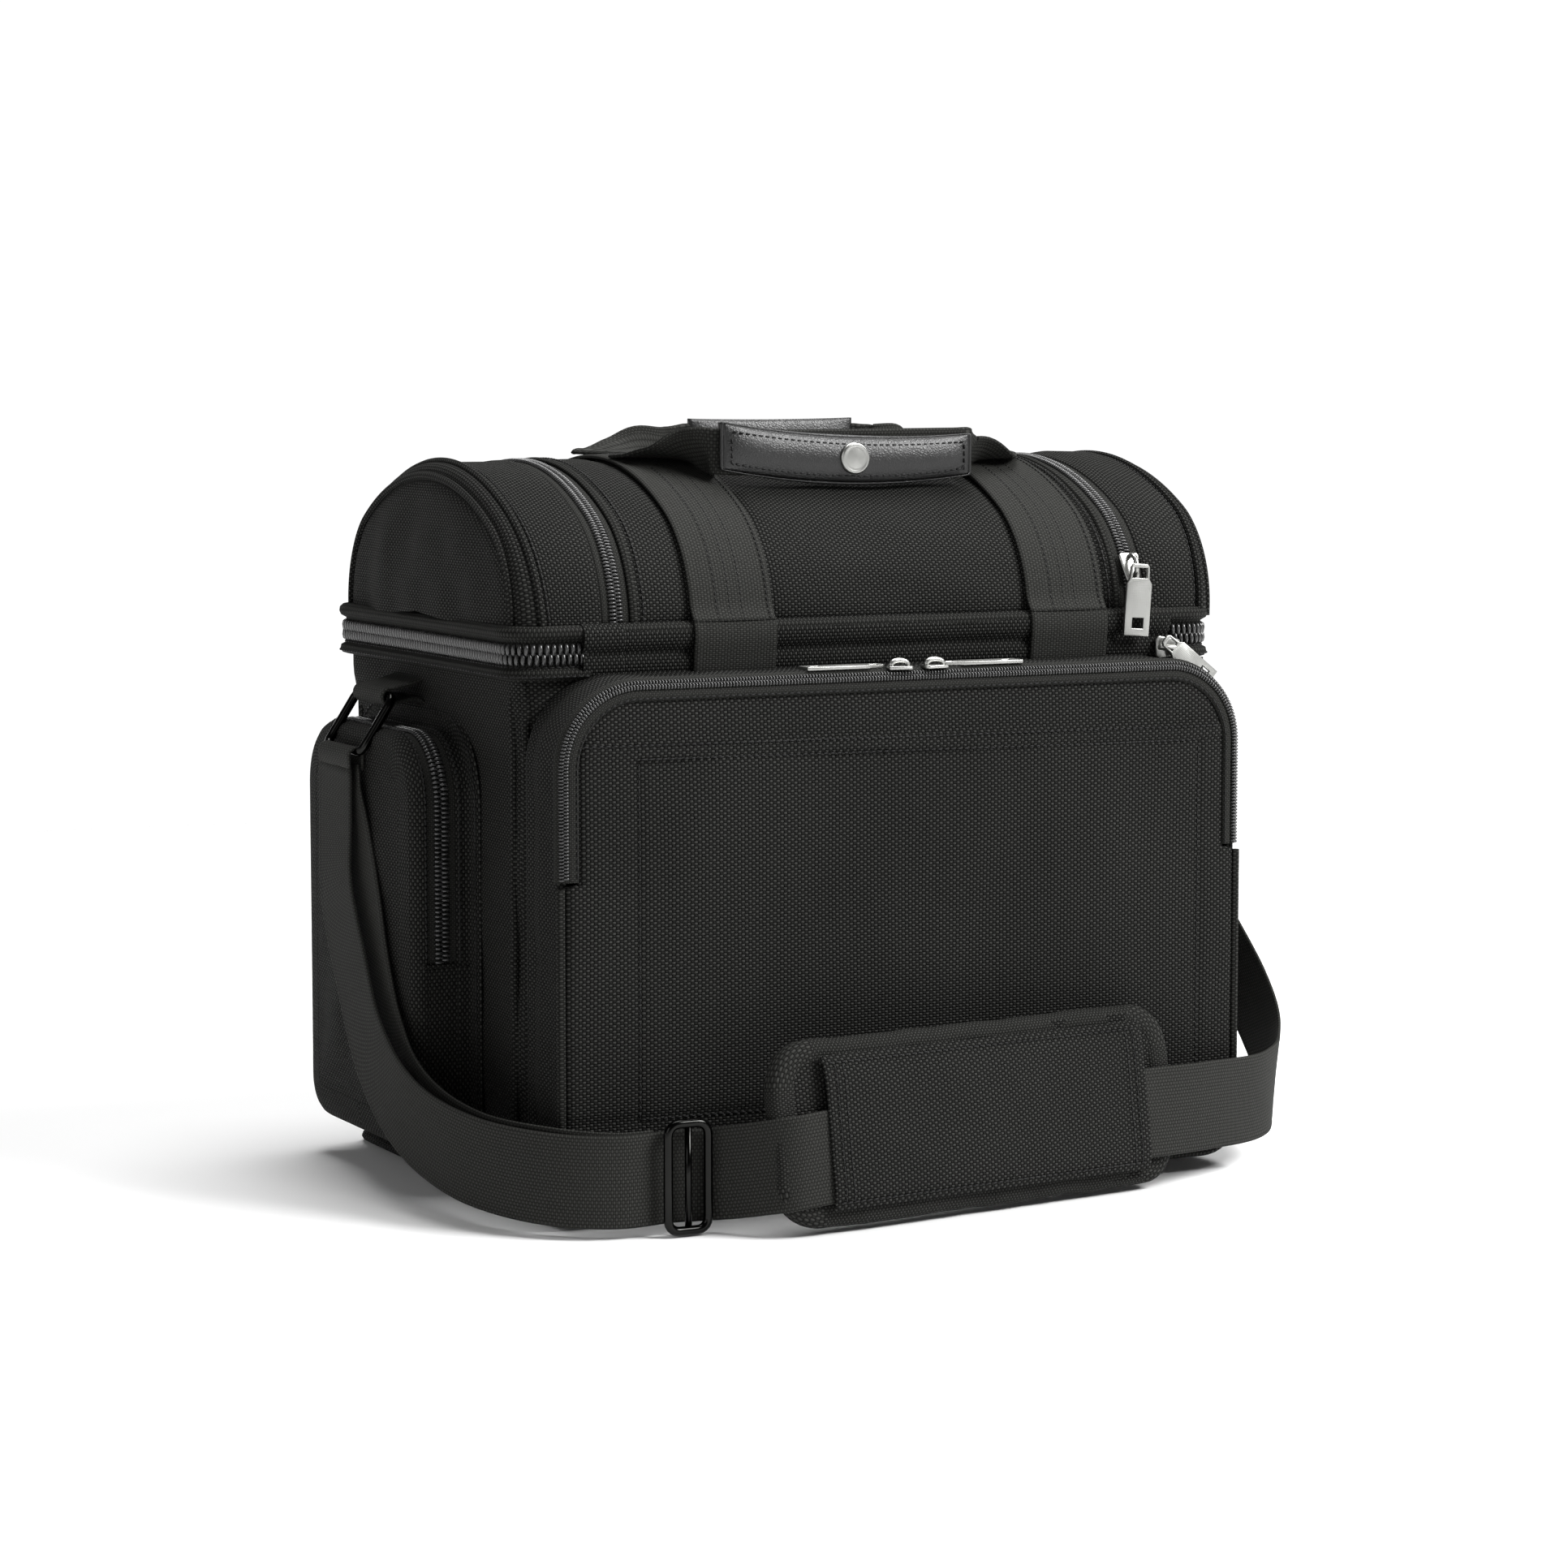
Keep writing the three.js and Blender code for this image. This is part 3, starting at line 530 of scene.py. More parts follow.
def rounded_outline(low, high, upper, lower, step=3.0):
    """A rounded rectangle as points and outward normals, starting in the middle of its lower edge and
    running anticlockwise."""
    (x0, y0), (x1, y1) = low, high
    middle = (x0 + x1) / 2
    corners = [
        ((x1 - lower, y0 + lower), lower, -90, 0),
        ((x1 - upper, y1 - upper), upper, 0, 90),
        ((x0 + upper, y1 - upper), upper, 90, 180),
        ((x0 + lower, y0 + lower), lower, 180, 270),
    ]
    points = [np.array([[middle, y0]])]
    normals = [np.array([[0.0, -1.0]])]
    for centre, radius, start, stop in corners:
        p, n = corner_arc(centre, radius, start, stop, step)
        points.append(p)
        normals.append(n)
    points.append(points[0])
    normals.append(normals[0])
    points, normals = np.concatenate(points), np.concatenate(normals)
    return resampled(points, normals, step)


def loop_of(outline):
    """A closed outline without its last point, which repeats the first."""
    points, normals = outline
    return points[:-1], normals[:-1]


def resampled(points, normals, step):
    keep = np.concatenate([[True], np.linalg.norm(np.diff(points, axis=0), axis=1) > 1e-6])
    points, normals = points[keep], normals[keep]
    lengths = arc_lengths(points)
    at = np.linspace(0, lengths[-1], int(lengths[-1] / step) + 1)
    p = np.stack([np.interp(at, lengths, points[:, i]) for i in range(2)], 1)
    n = np.stack([np.interp(at, lengths, normals[:, i]) for i in range(2)], 1)
    return p, unit(n)


def in_plane(points, axis, level):
    """Flat points put into space, across the named axis."""
    points = np.asarray(points, float)
    filled = np.full(len(points), float(level))
    if axis == "x":
        columns = (filled, points[:, 0], points[:, 1])
    elif axis == "y":
        columns = (points[:, 0], filled, points[:, 1])
    else:
        columns = (points[:, 0], points[:, 1], filled)
    return np.stack(columns, 1)


def constant(vector, count):
    return np.repeat(np.asarray([vector], float), count, axis=0)


def arch_point(turn, offset=0.0):
    """A point of the barrel top's section: turn is the normal's angle from upright, in degrees."""
    angle = math.radians(turn)
    if abs(angle) > MEET_ANGLE:
        centre, radius = (math.copysign(SIDE_CENTRE, angle), SPRING), SIDE_RADIUS
    else:
        centre, radius = (0, TOP_CENTRE), TOP_RADIUS
    radius += offset
    return centre[0] + radius * math.sin(angle), centre[1] + radius * math.cos(angle)


def turn_at_height(z):
    return 90 - math.degrees(math.asin((z - SPRING) / SIDE_RADIUS))


def arch_path(start, stop, step=3.0, front_foot=None, back_foot=None):
    """The barrel top's section between two turns as points and outward normals in (Y, Z)."""
    fine = np.linspace(start, stop, 400)
    points = [arch_point(t) for t in fine]
    normals = [(math.sin(math.radians(t)), math.cos(math.radians(t))) for t in fine]
    if front_foot:
        points.insert(0, (-HALF_Y, front_foot))
        normals.insert(0, (-1.0, 0.0))
    if back_foot:
        points.append((HALF_Y, back_foot))
        normals.append((1.0, 0.0))
    return resampled(np.array(points), np.array(normals), step)


def ripple(points, size, amount, seed):
    """Slow unevenness of soft cloth, about as much as amount either way, at each point."""
    shift = Vector((seed, 3 * seed, -seed))
    return np.array([amount * 1.6 * noise.noise(Vector(p) / size + shift) for p in points])


def between(a, b, low, high, at):
    """The value at a place between low, where it is a, and high, where it is b."""
    return ((high - at) * a + (at - low) * b) / (high - low)


def spline(stations, values, step=3.0):
    """A smooth centripetal curve through the stations, and the values carried evenly along it."""
    points = np.asarray(stations, float)
    values = np.asarray(values, float)
    ends = np.vstack([2 * points[0] - points[1], points, 2 * points[-1] - points[-2]])
    path, carried = [], []
    for i in range(len(points) - 1):
        p = ends[i : i + 4]
        knots = np.concatenate([[0], np.cumsum(np.linalg.norm(np.diff(p, axis=0), axis=1) ** 0.5)])
        count = max(2, int(np.linalg.norm(p[2] - p[1]) / step))
        last = i == len(points) - 2
        for share in np.linspace(0, 1, count, endpoint=last):
            t = knots[1] + share * (knots[2] - knots[1])
            a = [between(p[k], p[k + 1], knots[k], knots[k + 1], t) for k in range(3)]
            b = [between(a[k], a[k + 1], knots[k], knots[k + 2], t) for k in range(2)]
            path.append(between(b[0], b[1], knots[1], knots[2], t))
            ease = share * share * (3 - 2 * share)
            carried.append(values[i] * (1 - ease) + values[i + 1] * ease)
    return np.array(path), np.array(carried)


def squared(path, across):
    """The across directions made square to the path, and the normals of the ribbon they span."""
    ahead = unit(np.gradient(path, axis=0))
    across = unit(across - ahead * np.sum(across * ahead, axis=1, keepdims=True))
    return across, np.cross(ahead, across)


def webbing_profile(width, thickness, cup=0.0):
    """A woven strap's section, with slightly thinner selvedges, as (across, out) pairs."""
    half, depth = width / 2, thickness / 2
    top = [(-half, 0), (-half + 0.5, 0.75 * depth), (-half + 1.6, depth), (-half + 2.6, 0.86 * depth)]
    top += [(x, depth * 0.92) for x in np.linspace(-half + 5, half - 5, 7)]
    top += [(half - 2.6, 0.86 * depth), (half - 1.6, depth), (half - 0.5, 0.75 * depth)]
    bottom = [(-x, -y) for x, y in top]
    return np.array([(x, y + cup * (1 - (x / half) ** 2)) for x, y in top + bottom])


def ribbon(stations, width, thickness, step=3.0):
    """A webbing ribbon through stations of (point, across) or (point, across, width)."""
    widths = [[s[2] if len(s) > 2 else width] for s in stations]
    values = np.hstack([unit([s[1] for s in stations]), widths])
    path, carried = spline([s[0] for s in stations], values, step)
    across, normal = squared(path, carried[:, :3])
    profiles = np.array([webbing_profile(w, thickness) for w in carried[:, 3]])
    return sweep(path, across, normal, profiles, caps=True), path


# ---------- shoulder strap ----------
FOOT_X = RING_X + (RING_LENGTH - RING_BAR / 2) * math.cos(RING_TILT)
FOOT_Z = RING_Z - (RING_LENGTH - RING_BAR / 2) * math.sin(RING_TILT)
ALONG = (0, -1, 0)
UP = (0, 0, 1)
LEANT = (0.02, math.sin(PAD_LEAN), math.cos(PAD_LEAN))
MAIN_STRAP = [
    ((FOOT_X + 3, RING_Y, FOOT_Z - 5), ALONG),
    ((FOOT_X + 3, RING_Y - 2, 180), ALONG),
    ((215, 18, 160), (0, -0.95, 0.3)),
    ((219, -6, 132), (0, -0.8, 0.6)),
    ((222, -40, 98), (0, -0.65, 0.75)),
    ((222, -80, 62), (0, -0.5, 0.85)),
    ((212, -112, 38), (0, -0.2, 1)),
    ((188, -142, 33), UP),
    ((140, -168, 35), (0.02, 0.08, 1)),
    ((100, -178, 36), LEANT),
    ((60, -182.2, 36), LEANT),
    ((0, -190.1, 35.5), LEANT),
    ((-60, -198, 35), LEANT),
    ((-91, -200.6, 33), (0.02, 0.08, 1)),
    ((-105, -186, 29), UP),
    ((-117, -170.6, 25.5), UP),
    ((-134, -168, 25.5), UP),
    ((-160, -168, 25), UP),
    ((-186, -152, 26), UP),
    ((-208, -112, 30), (0, -0.1, 1)),
    ((-217, -62, 42), (0, -0.35, 0.9)),
    ((-217, -18, 66), (0, -0.65, 0.75)),
    ((-216, 8, 100), (0, -0.83, 0.55)),
    ((-215.5, 27, 135), (0, -0.95, 0.3)),
    ((-214, 31, 168), ALONG),
    ((-FOOT_X - 3, RING_Y, FOOT_Z - 5), ALONG),
]
STRAP_TAIL = [
    ((-FOOT_X + 1, RING_Y, FOOT_Z - 7), ALONG),
    ((-FOOT_X + 1, RING_Y - 2, 179), ALONG),
    ((-209.4, 19, 157), (0, -0.95, 0.3)),
    ((-209.4, 7, 130), (0, -0.95, 0.3)),
    ((-209.4, -4, 100), (0, -0.92, 0.35)),
    ((-209.6, -22, 70), (0, -0.7, 0.7)),
    ((-210, -54, 46), (0, -0.4, 0.9)),
    ((-203, -108, 31), (0, -0.1, 1)),
    ((-182, -146, 27), UP),
    ((-159, -163, 25.5), UP),
    ((-141.8, -164, 25.5), UP),
]


def world_list(path):
    return [tuple(map(float, p)) for p in to_world(path)]


def strap_loop(name, hand):
    """The turn of webbing that wraps the ring's lower bar and joins the two layers."""
    x, z = FOOT_X, FOOT_Z
    turn = np.radians(np.linspace(-10, 190, 15))
    radius = RING_BAR / 2 + 1.3
    arc = [(hand * (x + radius * math.cos(t)), RING_Y, z + radius * math.sin(t)) for t in turn]
    path = [(hand * (x + 3), RING_Y, z - 6.5)] + arc + [(hand * (x - 3), RING_Y, z - 6.5)]
    path = np.array(path)
    across, normal = squared(path, constant(ALONG, len(path)))
    band = sweep(path, across, normal, webbing_profile(STRAP_WIDTH - 1, 1.6), caps=True)
    return build(name, band, WEBBING, "body")


def shoulder_strap():
    main, path = ribbon(MAIN_STRAP, STRAP_WIDTH, 1.8)
    strap = build("strap_main", main, WEBBING, "body", ["shoulder_strap"])
    tail, tail_path = ribbon(STRAP_TAIL, STRAP_WIDTH, 1.8)
    doubled = build("strap_double", tail, WEBBING, "body", ["strap_tail"])
    slide = strap_slide()
    left, right = strap_loop("strap_loop_left", -1), strap_loop("strap_loop_right", 1)
    pad_parts = shoulder_pad()
    world_list(path)[0]
    world_list(path)
    world_list(tail_path)[0]
    world_list(tail_path)


def strap_slide():
    """The three-bar adjuster: a rounded frame of black wire with a middle bar."""
    centre = np.array([-129.5, -174, 25.9])
    p, n = rounded_outline((-9.6, -23.6), (9.6, 23.6), 5, 5, 1.5)
    path = in_plane(p, "y", 0)[:-1] + centre
    out = in_plane(n, "y", 0)[:-1]
    frame_tube = tube(path, out, constant((0, 1, 0), len(path)), 2.1, 10, ring=True)
    bar = np.array([(0, 0, -22), (0, 0, 22)]) + centre
    frame_tube.add(tube(bar, constant((1, 0, 0), 2), constant((0, 1, 0), 2), 1.6, 10))
    return build("strap_adjuster", frame_tube, BLACK_METAL, "body", ["strap_slide"])


def pad_space(points):
    """Points of the pad's own frame, lying along x and standing up z, leant, turned and put in place."""
    x, y, z = np.asarray(points, float).T
    x = np.where(x < 0, x * PAD_STRETCH, x)
    lean_y = y * math.cos(PAD_LEAN) + z * math.sin(PAD_LEAN)
    lean_z = z * math.cos(PAD_LEAN) - y * math.sin(PAD_LEAN)
    turned_x = x * math.cos(PAD_TURN) - lean_y * math.sin(PAD_TURN)
    turned_y = x * math.sin(PAD_TURN) + lean_y * math.cos(PAD_TURN)
    return np.stack([turned_x, turned_y, lean_z], 1) + np.array(PAD_FOOT)


def pad_sheet(inset, crown, level, rings=14):
    """One face of the pad as rings that close in on its middle line."""
    half, height = PAD_LENGTH / 2 - inset, PAD_HEIGHT - inset
    rows = []
    for share in np.linspace(0, 1, rings):
        d = share * (PAD_HEIGHT / 2 - inset - 1)
        radius = max(PAD_RADIUS - inset - d, 1)
        p, _ = rounded_outline((-half + d, inset + d), (half - d, height - d), radius, radius, 3)
        keep = np.linspace(0, len(p) - 1, 150)
        p = np.stack([np.interp(keep, range(len(p)), p[:, i]) for i in range(2)], 1)
        rise = math.sin(share * math.pi / 2) ** 1.4
        rows.append(np.stack([p[:, 0], np.full(150, level + crown * rise), p[:, 1]], 1))
    return np.array(rows)


def shoulder_pad():
    """Two crowned faces bound round the edge, with a sewn cover panel and a bar of stitches at each end."""
    front = pad_sheet(3, -2.2, 1.2)
    back = pad_sheet(3, 2.0, PAD_THICKNESS - 1.2)
    shape = Geometry()
    for rows, flip in ((front, False), (back, True)):
        flat = rows.reshape(-1, 3)
        moved = pad_space(flat + np.outer(ripple(flat, 30, 0.5, 2), (0, 1, 0)))
        piece = grid(moved.reshape(rows.shape), flip=flip)
        piece.uv = planar_uv(piece, rows.reshape(-1, 3))
        shape.add(piece)
    body = build("pad_body", shape, NYLON, "pad", ["shoulder_pad"])
    return [body, pad_binding(), *pad_cover()]


def pad_binding():
    """The woven edge binding: a soft squared roll that stands a little proud of both faces."""
    radius = PAD_RADIUS - PAD_EDGE_IN
    low = (-PAD_LENGTH / 2 + PAD_EDGE_IN, PAD_EDGE_IN)
    high = (PAD_LENGTH / 2 - PAD_EDGE_IN, PAD_HEIGHT - PAD_EDGE_IN)
    p, n = loop_of(rounded_outline(low, high, radius, radius, 2))
    middle, out = in_plane(p, "y", PAD_THICKNESS / 2), in_plane(n, "y", 0)
    middle += out * ripple(middle, 14, 0.45, 21)[:, None]
    middle += np.outer(ripple(middle, 22, 0.9, 22), (0, 1, 0))
    angles = np.linspace(0, 2 * math.pi, 20, endpoint=False)
    squared_sine = np.abs(np.sin(angles)) ** 0.55 * np.sign(np.sin(angles))
    depth = np.where(squared_sine < 0, PAD_THICKNESS / 2 + 0.1, PAD_THICKNESS / 2 + 0.7)
    section = np.stack([PAD_EDGE_HALF * np.cos(angles), depth * squared_sine], 1)
    edge = sweep(middle, out, constant((0, 1, 0), len(middle)), section, ring=True, flip=True)
    edge.points = [pad_space(np.concatenate(edge.points))]
    return build("pad_binding", edge, PAD_BINDING, "pad")


def planar_uv(piece, flat):
    """Surface coordinates read straight from X and Z of the flat shape."""
    return [(flat[i][0], flat[i][2]) for face in piece.faces for i in face]


def pad_cover():
    """The flat panel sewn on the pad's front, and its stitches."""
    left, right, low, high = -84, 86, 7, PAD_HEIGHT - 7
    xs, zs = np.linspace(left, right, 90), np.linspace(low, high, 40)

    def lift(x, z):
        """How far the cover stands forward over the webbing that runs beneath it."""
        slack = 1 - abs((z - 40) / 36) ** 6
        return -0.6 - 5.2 * max(slack, 0) ** 0.7 - 0.5 * noise.noise(Vector((x / 22, z / 18, 5)))

    rows = np.array([[(x, lift(x, z), z) for x in xs] for z in zs])
    piece = grid(pad_space(rows.reshape(-1, 3)).reshape(rows.shape))
    piece.uv = planar_uv(piece, rows.reshape(-1, 3))
    cover = build("pad_cover", piece, NYLON, "pad", solid=1.2)
    lines = Geometry()
    for x in (left + 5, left + 9, right - 9, right - 5):
        line = np.array([(x, lift(x, z) - 0.1, z) for z in np.linspace(low + 3, high - 3, 40)])
        lines.add(stitches(pad_space(line), constant((0, -1, 0.1), 40)))
    for z in (low + 3.4, high - 3.4):
        line = np.array([(x, lift(x, z) - 0.3, z) for x in np.linspace(left + 2, right - 2, 90)])
        lines.add(stitches(pad_space(line), constant((0, -1, 0.1), 90)))
    sewing = build("pad_stitches", lines, THREAD, "pad")
    return [cover, sewing]


# ---------- main body ----------
def body_outline(step=3.0):
    return rounded_outline((-HALF_X, -HALF_Y), (HALF_X, HALF_Y), CORNER, CORNER, step)


def left_bulge(points, amount):
    """The soft upper wall on the left stands out from its frame, most of all towards the back."""
    points = np.array(points, float)
    share = np.clip((-points[:, 0] - BULGE_START) / BULGE_RUN, 0, 1) ** 2
    points[:, 0] -= amount * share * (BULGE_FRONT + BULGE_BACK * np.clip(points[:, 1] / HALF_Y, 0, 1))
    return points


TUB_FOOT = [(5.5, -104), (5.5, -60), (5.4, -20), (5.5, -8), (6.6, -3), (9.5, -0.6), (13, 0)]
TUB_RIM = [(238, 0), (243, 0.4), (248.5, 0), (249.6, -1.2), (249.6, -7), (248, -8), (240, -8.2), (226, -8.2)]
FOOT_SECTION = [
    (4.9, 26), (5.0, 8), (4.9, 2.2), (4.2, 0.6), (2.6, 0), (1.0, 0.8), (0.0, 2.6), (0.0, 8), (0.0, 26),
]


def main_body():
    """The padded tub: one skin from under the bottom, up the walls and over the rim to the lining."""
    p, n = loop_of(body_outline())
    levels = [*TUB_FOOT, *[(z, 0) for z in np.arange(17, 236, 4.5)], *TUB_RIM]
    rows = []
    for z, inset in levels:
        body = in_plane(p + n * max(inset, -12), "z", z)
        if inset < -12:
            body[:, :2] = p * (1 + np.array([inset / HALF_X * 0.96, inset / HALF_Y * 0.98]))
        swell = 0 if inset else 1.2 * math.sin(math.pi * (z - 8) / 240)
        side = np.abs(n[:, 0]) ** 2 * (1 - (p[:, 1] / HALF_Y) ** 6) * swell
        wrinkle = ripple(body, 42, 1.1, 1) * (0 if inset else 1)
        body[:, :2] += n * (side + wrinkle)[:, None]
        if inset > -7:
            body = left_bulge(body, WALL_BULGE * np.clip((z - 200) / 30, 0, 1))
        rows.append(body)
    shape = grid(np.array(rows), wrap=True)
    nodes = ["front_wall", "back_wall", "left_wall", "right_wall", "bottom_panel"]
    walls = build("body_shell", shape, NYLON, "body", nodes)
    welts()
    feet()


def welts():
    """Two piped seams down each upright corner of the body."""
    shape = Geometry()
    for sx in (-1, 1):
        for sy in (-1, 1):
            for degrees in (-2, 32):
                a = math.radians(degrees)
                direction = np.array([sx * math.cos(a), sy * math.sin(a), 0])
                corner = np.array([sx * (HALF_X - CORNER), sy * (HALF_Y - CORNER), 0])
                foot = corner + direction * (CORNER + 0.9)
                path = np.array([foot + (0, 0, z) for z in np.linspace(12, 238, 76)])
                path += np.outer(ripple(path, 30, 0.5, degrees), direction)
                side = constant((-direction[1], direction[0], 0), len(path))
                shape.add(tube(path, side, constant(direction, len(path)), 2.0, 8))
    build("corner_welts", shape, NYLON, "body")


def feet():
    """Corner patches of doubled cloth that the bag stands on."""
    for end, sy in (("front", -1), ("back", 1)):
        for hand, sx in SIDES:
            reach = (HALF_X + 3, HALF_Y + 3)
            xs = sorted((sx * reach[0], sx * (reach[0] - 62)))
            ys = sorted((sy * reach[1], sy * (reach[1] - 75)))
            p, n = loop_of(rounded_outline((xs[0], ys[0]), (xs[1], ys[1]), 17, 17, 2.5))
            middle = p.mean(0)
            rows = []
            for z, inset in FOOT_SECTION:
                ring = p - n * inset if inset < 9 else middle + (p - middle) * 0.3
                rows.append(in_plane(ring, "z", z))
            shape = grid(np.array(rows), wrap=True, flip=True)
            build(f"patch_{end}_{hand}", shape, NYLON, "body", [f"foot_{end}_{hand}"])


# ---------- main zip ----------
ZIP_LOW_SECTION = [
    (239.0, 0), (238.6, 1.8), (239.2, 3.9), (241, 4.9), (242.8, 4.5), (243.6, 3.0), (244.2, 2.0),
    (249.6, 1.9), (249.6, 0),
]
ZIP_HIGH_SECTION = [
    (250.4, 0), (250.4, 1.9), (255.8, 2.0), (256.4, 3.0), (257.2, 4.5), (259, 5.3), (261, 5.0), (262.4, 3.4),
    (262.8, 1.0), (262.4, -0.8),
]
FOLD_SECTION = [
    (236, 0.3), (238.5, 1.6), (241.5, 3.4), (245, 4.0), (248, 3.4), (249.4, 2.2), (250.4, 2.3), (252, 4.1),
    (255, 5.3), (258.6, 5.4), (261.4, 4.2), (263, 1.6), (263.2, -0.5),
]


def around_body(left, right):
    """The way round the sides and back, between places right and left of the middle of the front."""
    p, n = body_outline(2.0)
    lengths = arc_lengths(p)
    keep = (lengths >= right) & (lengths <= lengths[-1] - left)
    return left_bulge(in_plane(p[keep], "z", 0), BAND_BULGE), in_plane(n[keep], "z", 0)


def main_zip():
    """The coil zip that joins the body and the upper compartment, between two rolled bands."""
    path, out = around_body(ZIP_END - 6, ZIP_END)
    up = constant(UP, len(path))
    low = sweep(path, up, out, ZIP_LOW_SECTION, closed=False, flip=True)
    build("main_zip_low", low, BINDING, "body", ["main_zip_lower"])
    ring_p, ring_n = body_outline()
    ring_path, ring_out = left_bulge(in_plane(ring_p, "z", 0), BAND_BULGE), in_plane(ring_n, "z", 0)
    high = sweep(ring_path, constant(UP, len(ring_path)), ring_out, ZIP_HIGH_SECTION, closed=False, flip=True)
    build("main_zip_high", high, BINDING, "dome", ["main_zip_upper"])
    middle = path + out * 2.3 + np.array([0, 0, SPLIT])
    for level, hand, body in (("low", -1, "body"), ("high", 1, "dome")):
        teeth = coil_rows(middle, up, out, 9.8, 3.0, hands=(hand,))
        build(f"main_coil_{level}", teeth, COIL, body)
    seams = Geometry()
    for z, reach in ((240.4, 5.0), (244.4, 2.4)):
        seams.add(stitches(path + out * reach + np.array([0, 0, z]), out, 3.2))
    build("main_zip_stitches", seams, THREAD, "body")


def hinge_fold():
    """The rolled cloth along the front edge that the upper compartment turns on."""
    xs = np.linspace(-ZIP_END + 2.5, ZIP_END - 1, 120)
    path = np.stack([xs, np.full(len(xs), -HALF_Y), np.zeros(len(xs))], 1)
    profiles = np.array([[(z, o + w) for z, o in FOLD_SECTION] for w in ripple(path, 28, 0.5, 4)])
    shape = sweep(path, constant(UP, 120), constant(ALONG, 120), profiles, closed=False, flip=True)
    tab_xs = np.linspace(-ZIP_END + 1, -131, 16)
    tab_path = np.stack([tab_xs, np.full(16, -HALF_Y), np.zeros(16)], 1)
    tab_section = [(z, o + 1.0) for z, o in FOLD_SECTION]
    shape.add(sweep(tab_path, constant(UP, 16), constant(ALONG, 16), tab_section, closed=False, flip=True))
    fold = build("hinge_fold", shape, NYLON, None, ["hinge_roll"], solid=1.0)
    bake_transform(fold)


# ---------- front pocket ----------
def pocket_outline(inset, step=3.0):
    return rounded_outline(
        (POCKET_LEFT + inset, POCKET_BOTTOM + inset),
        (POCKET_RIGHT - inset, POCKET_TOP - inset),
        POCKET_TOP_RADIUS - inset,
        max(POCKET_LOW_RADIUS - inset, 1),
        step,
    )


def above(points, normals, height):
    keep = points[:, 1] >= height
    return points[keep], normals[keep]


def pocket_span(z, inset):
    """Where the pocket's outline stands on the left and right at a height."""
    left, right = POCKET_LEFT + inset, POCKET_RIGHT - inset
    low, high = POCKET_BOTTOM + inset, POCKET_TOP - inset
    upper, lower = POCKET_TOP_RADIUS - inset, max(POCKET_LOW_RADIUS - inset, 1)
    pull = 0.0
    if z > high - upper:
        pull = upper - math.sqrt(max(upper**2 - (z - high + upper) ** 2, 0))
    if z < low + lower:
        pull = lower - math.sqrt(max(lower**2 - (low + lower - z) ** 2, 0))
    return left + pull, right - pull


def hem_height(x):
    """Height of the slip pocket's upper edge across the front, which sags a little to the right."""
    share = (x - POCKET_LEFT) / (POCKET_RIGHT - POCKET_LEFT)
    return HEM_LEFT_Z + (HEM_RIGHT_Z - HEM_LEFT_Z) * share


def face_height(x, z):
    """How far the pocket's face stands forward of its flat plane."""
    across = (x - (POCKET_LEFT + POCKET_RIGHT) / 2) / 176
    rise = (z - 120) / 118
    swell = 3.4 * (1 - min(abs(across), 1) ** 3) * (1 - min(abs(rise), 1) ** 4)
    hem = hem_height(x)
    layer = 0.0
    if z < hem:
        layer = 1.3 * min((hem - z) / 0.8, 1)
        if z < hem - HEM_DEPTH:
            layer = 0.7
        for at in (SLIP_LEFT, SLIP_RIGHT):
            if z < hem - HEM_DEPTH:
                layer -= 0.9 * math.exp(-(((x - at) / 2.2) ** 2))
    layer -= 0.8 * math.exp(-(((z - SLIP_LOW) / 2.2) ** 2))
    layer -= 0.6 * math.exp(-(((z - hem + HEM_DEPTH) / 1.6) ** 2))
    sag = 0.0
    if z < hem - HEM_DEPTH:
        sag = 1.5 * noise.noise(Vector((x / 60, z / 95, 7))) + 0.8 * noise.noise(Vector((x / 24, z / 60, 3)))
    return swell + layer + sag


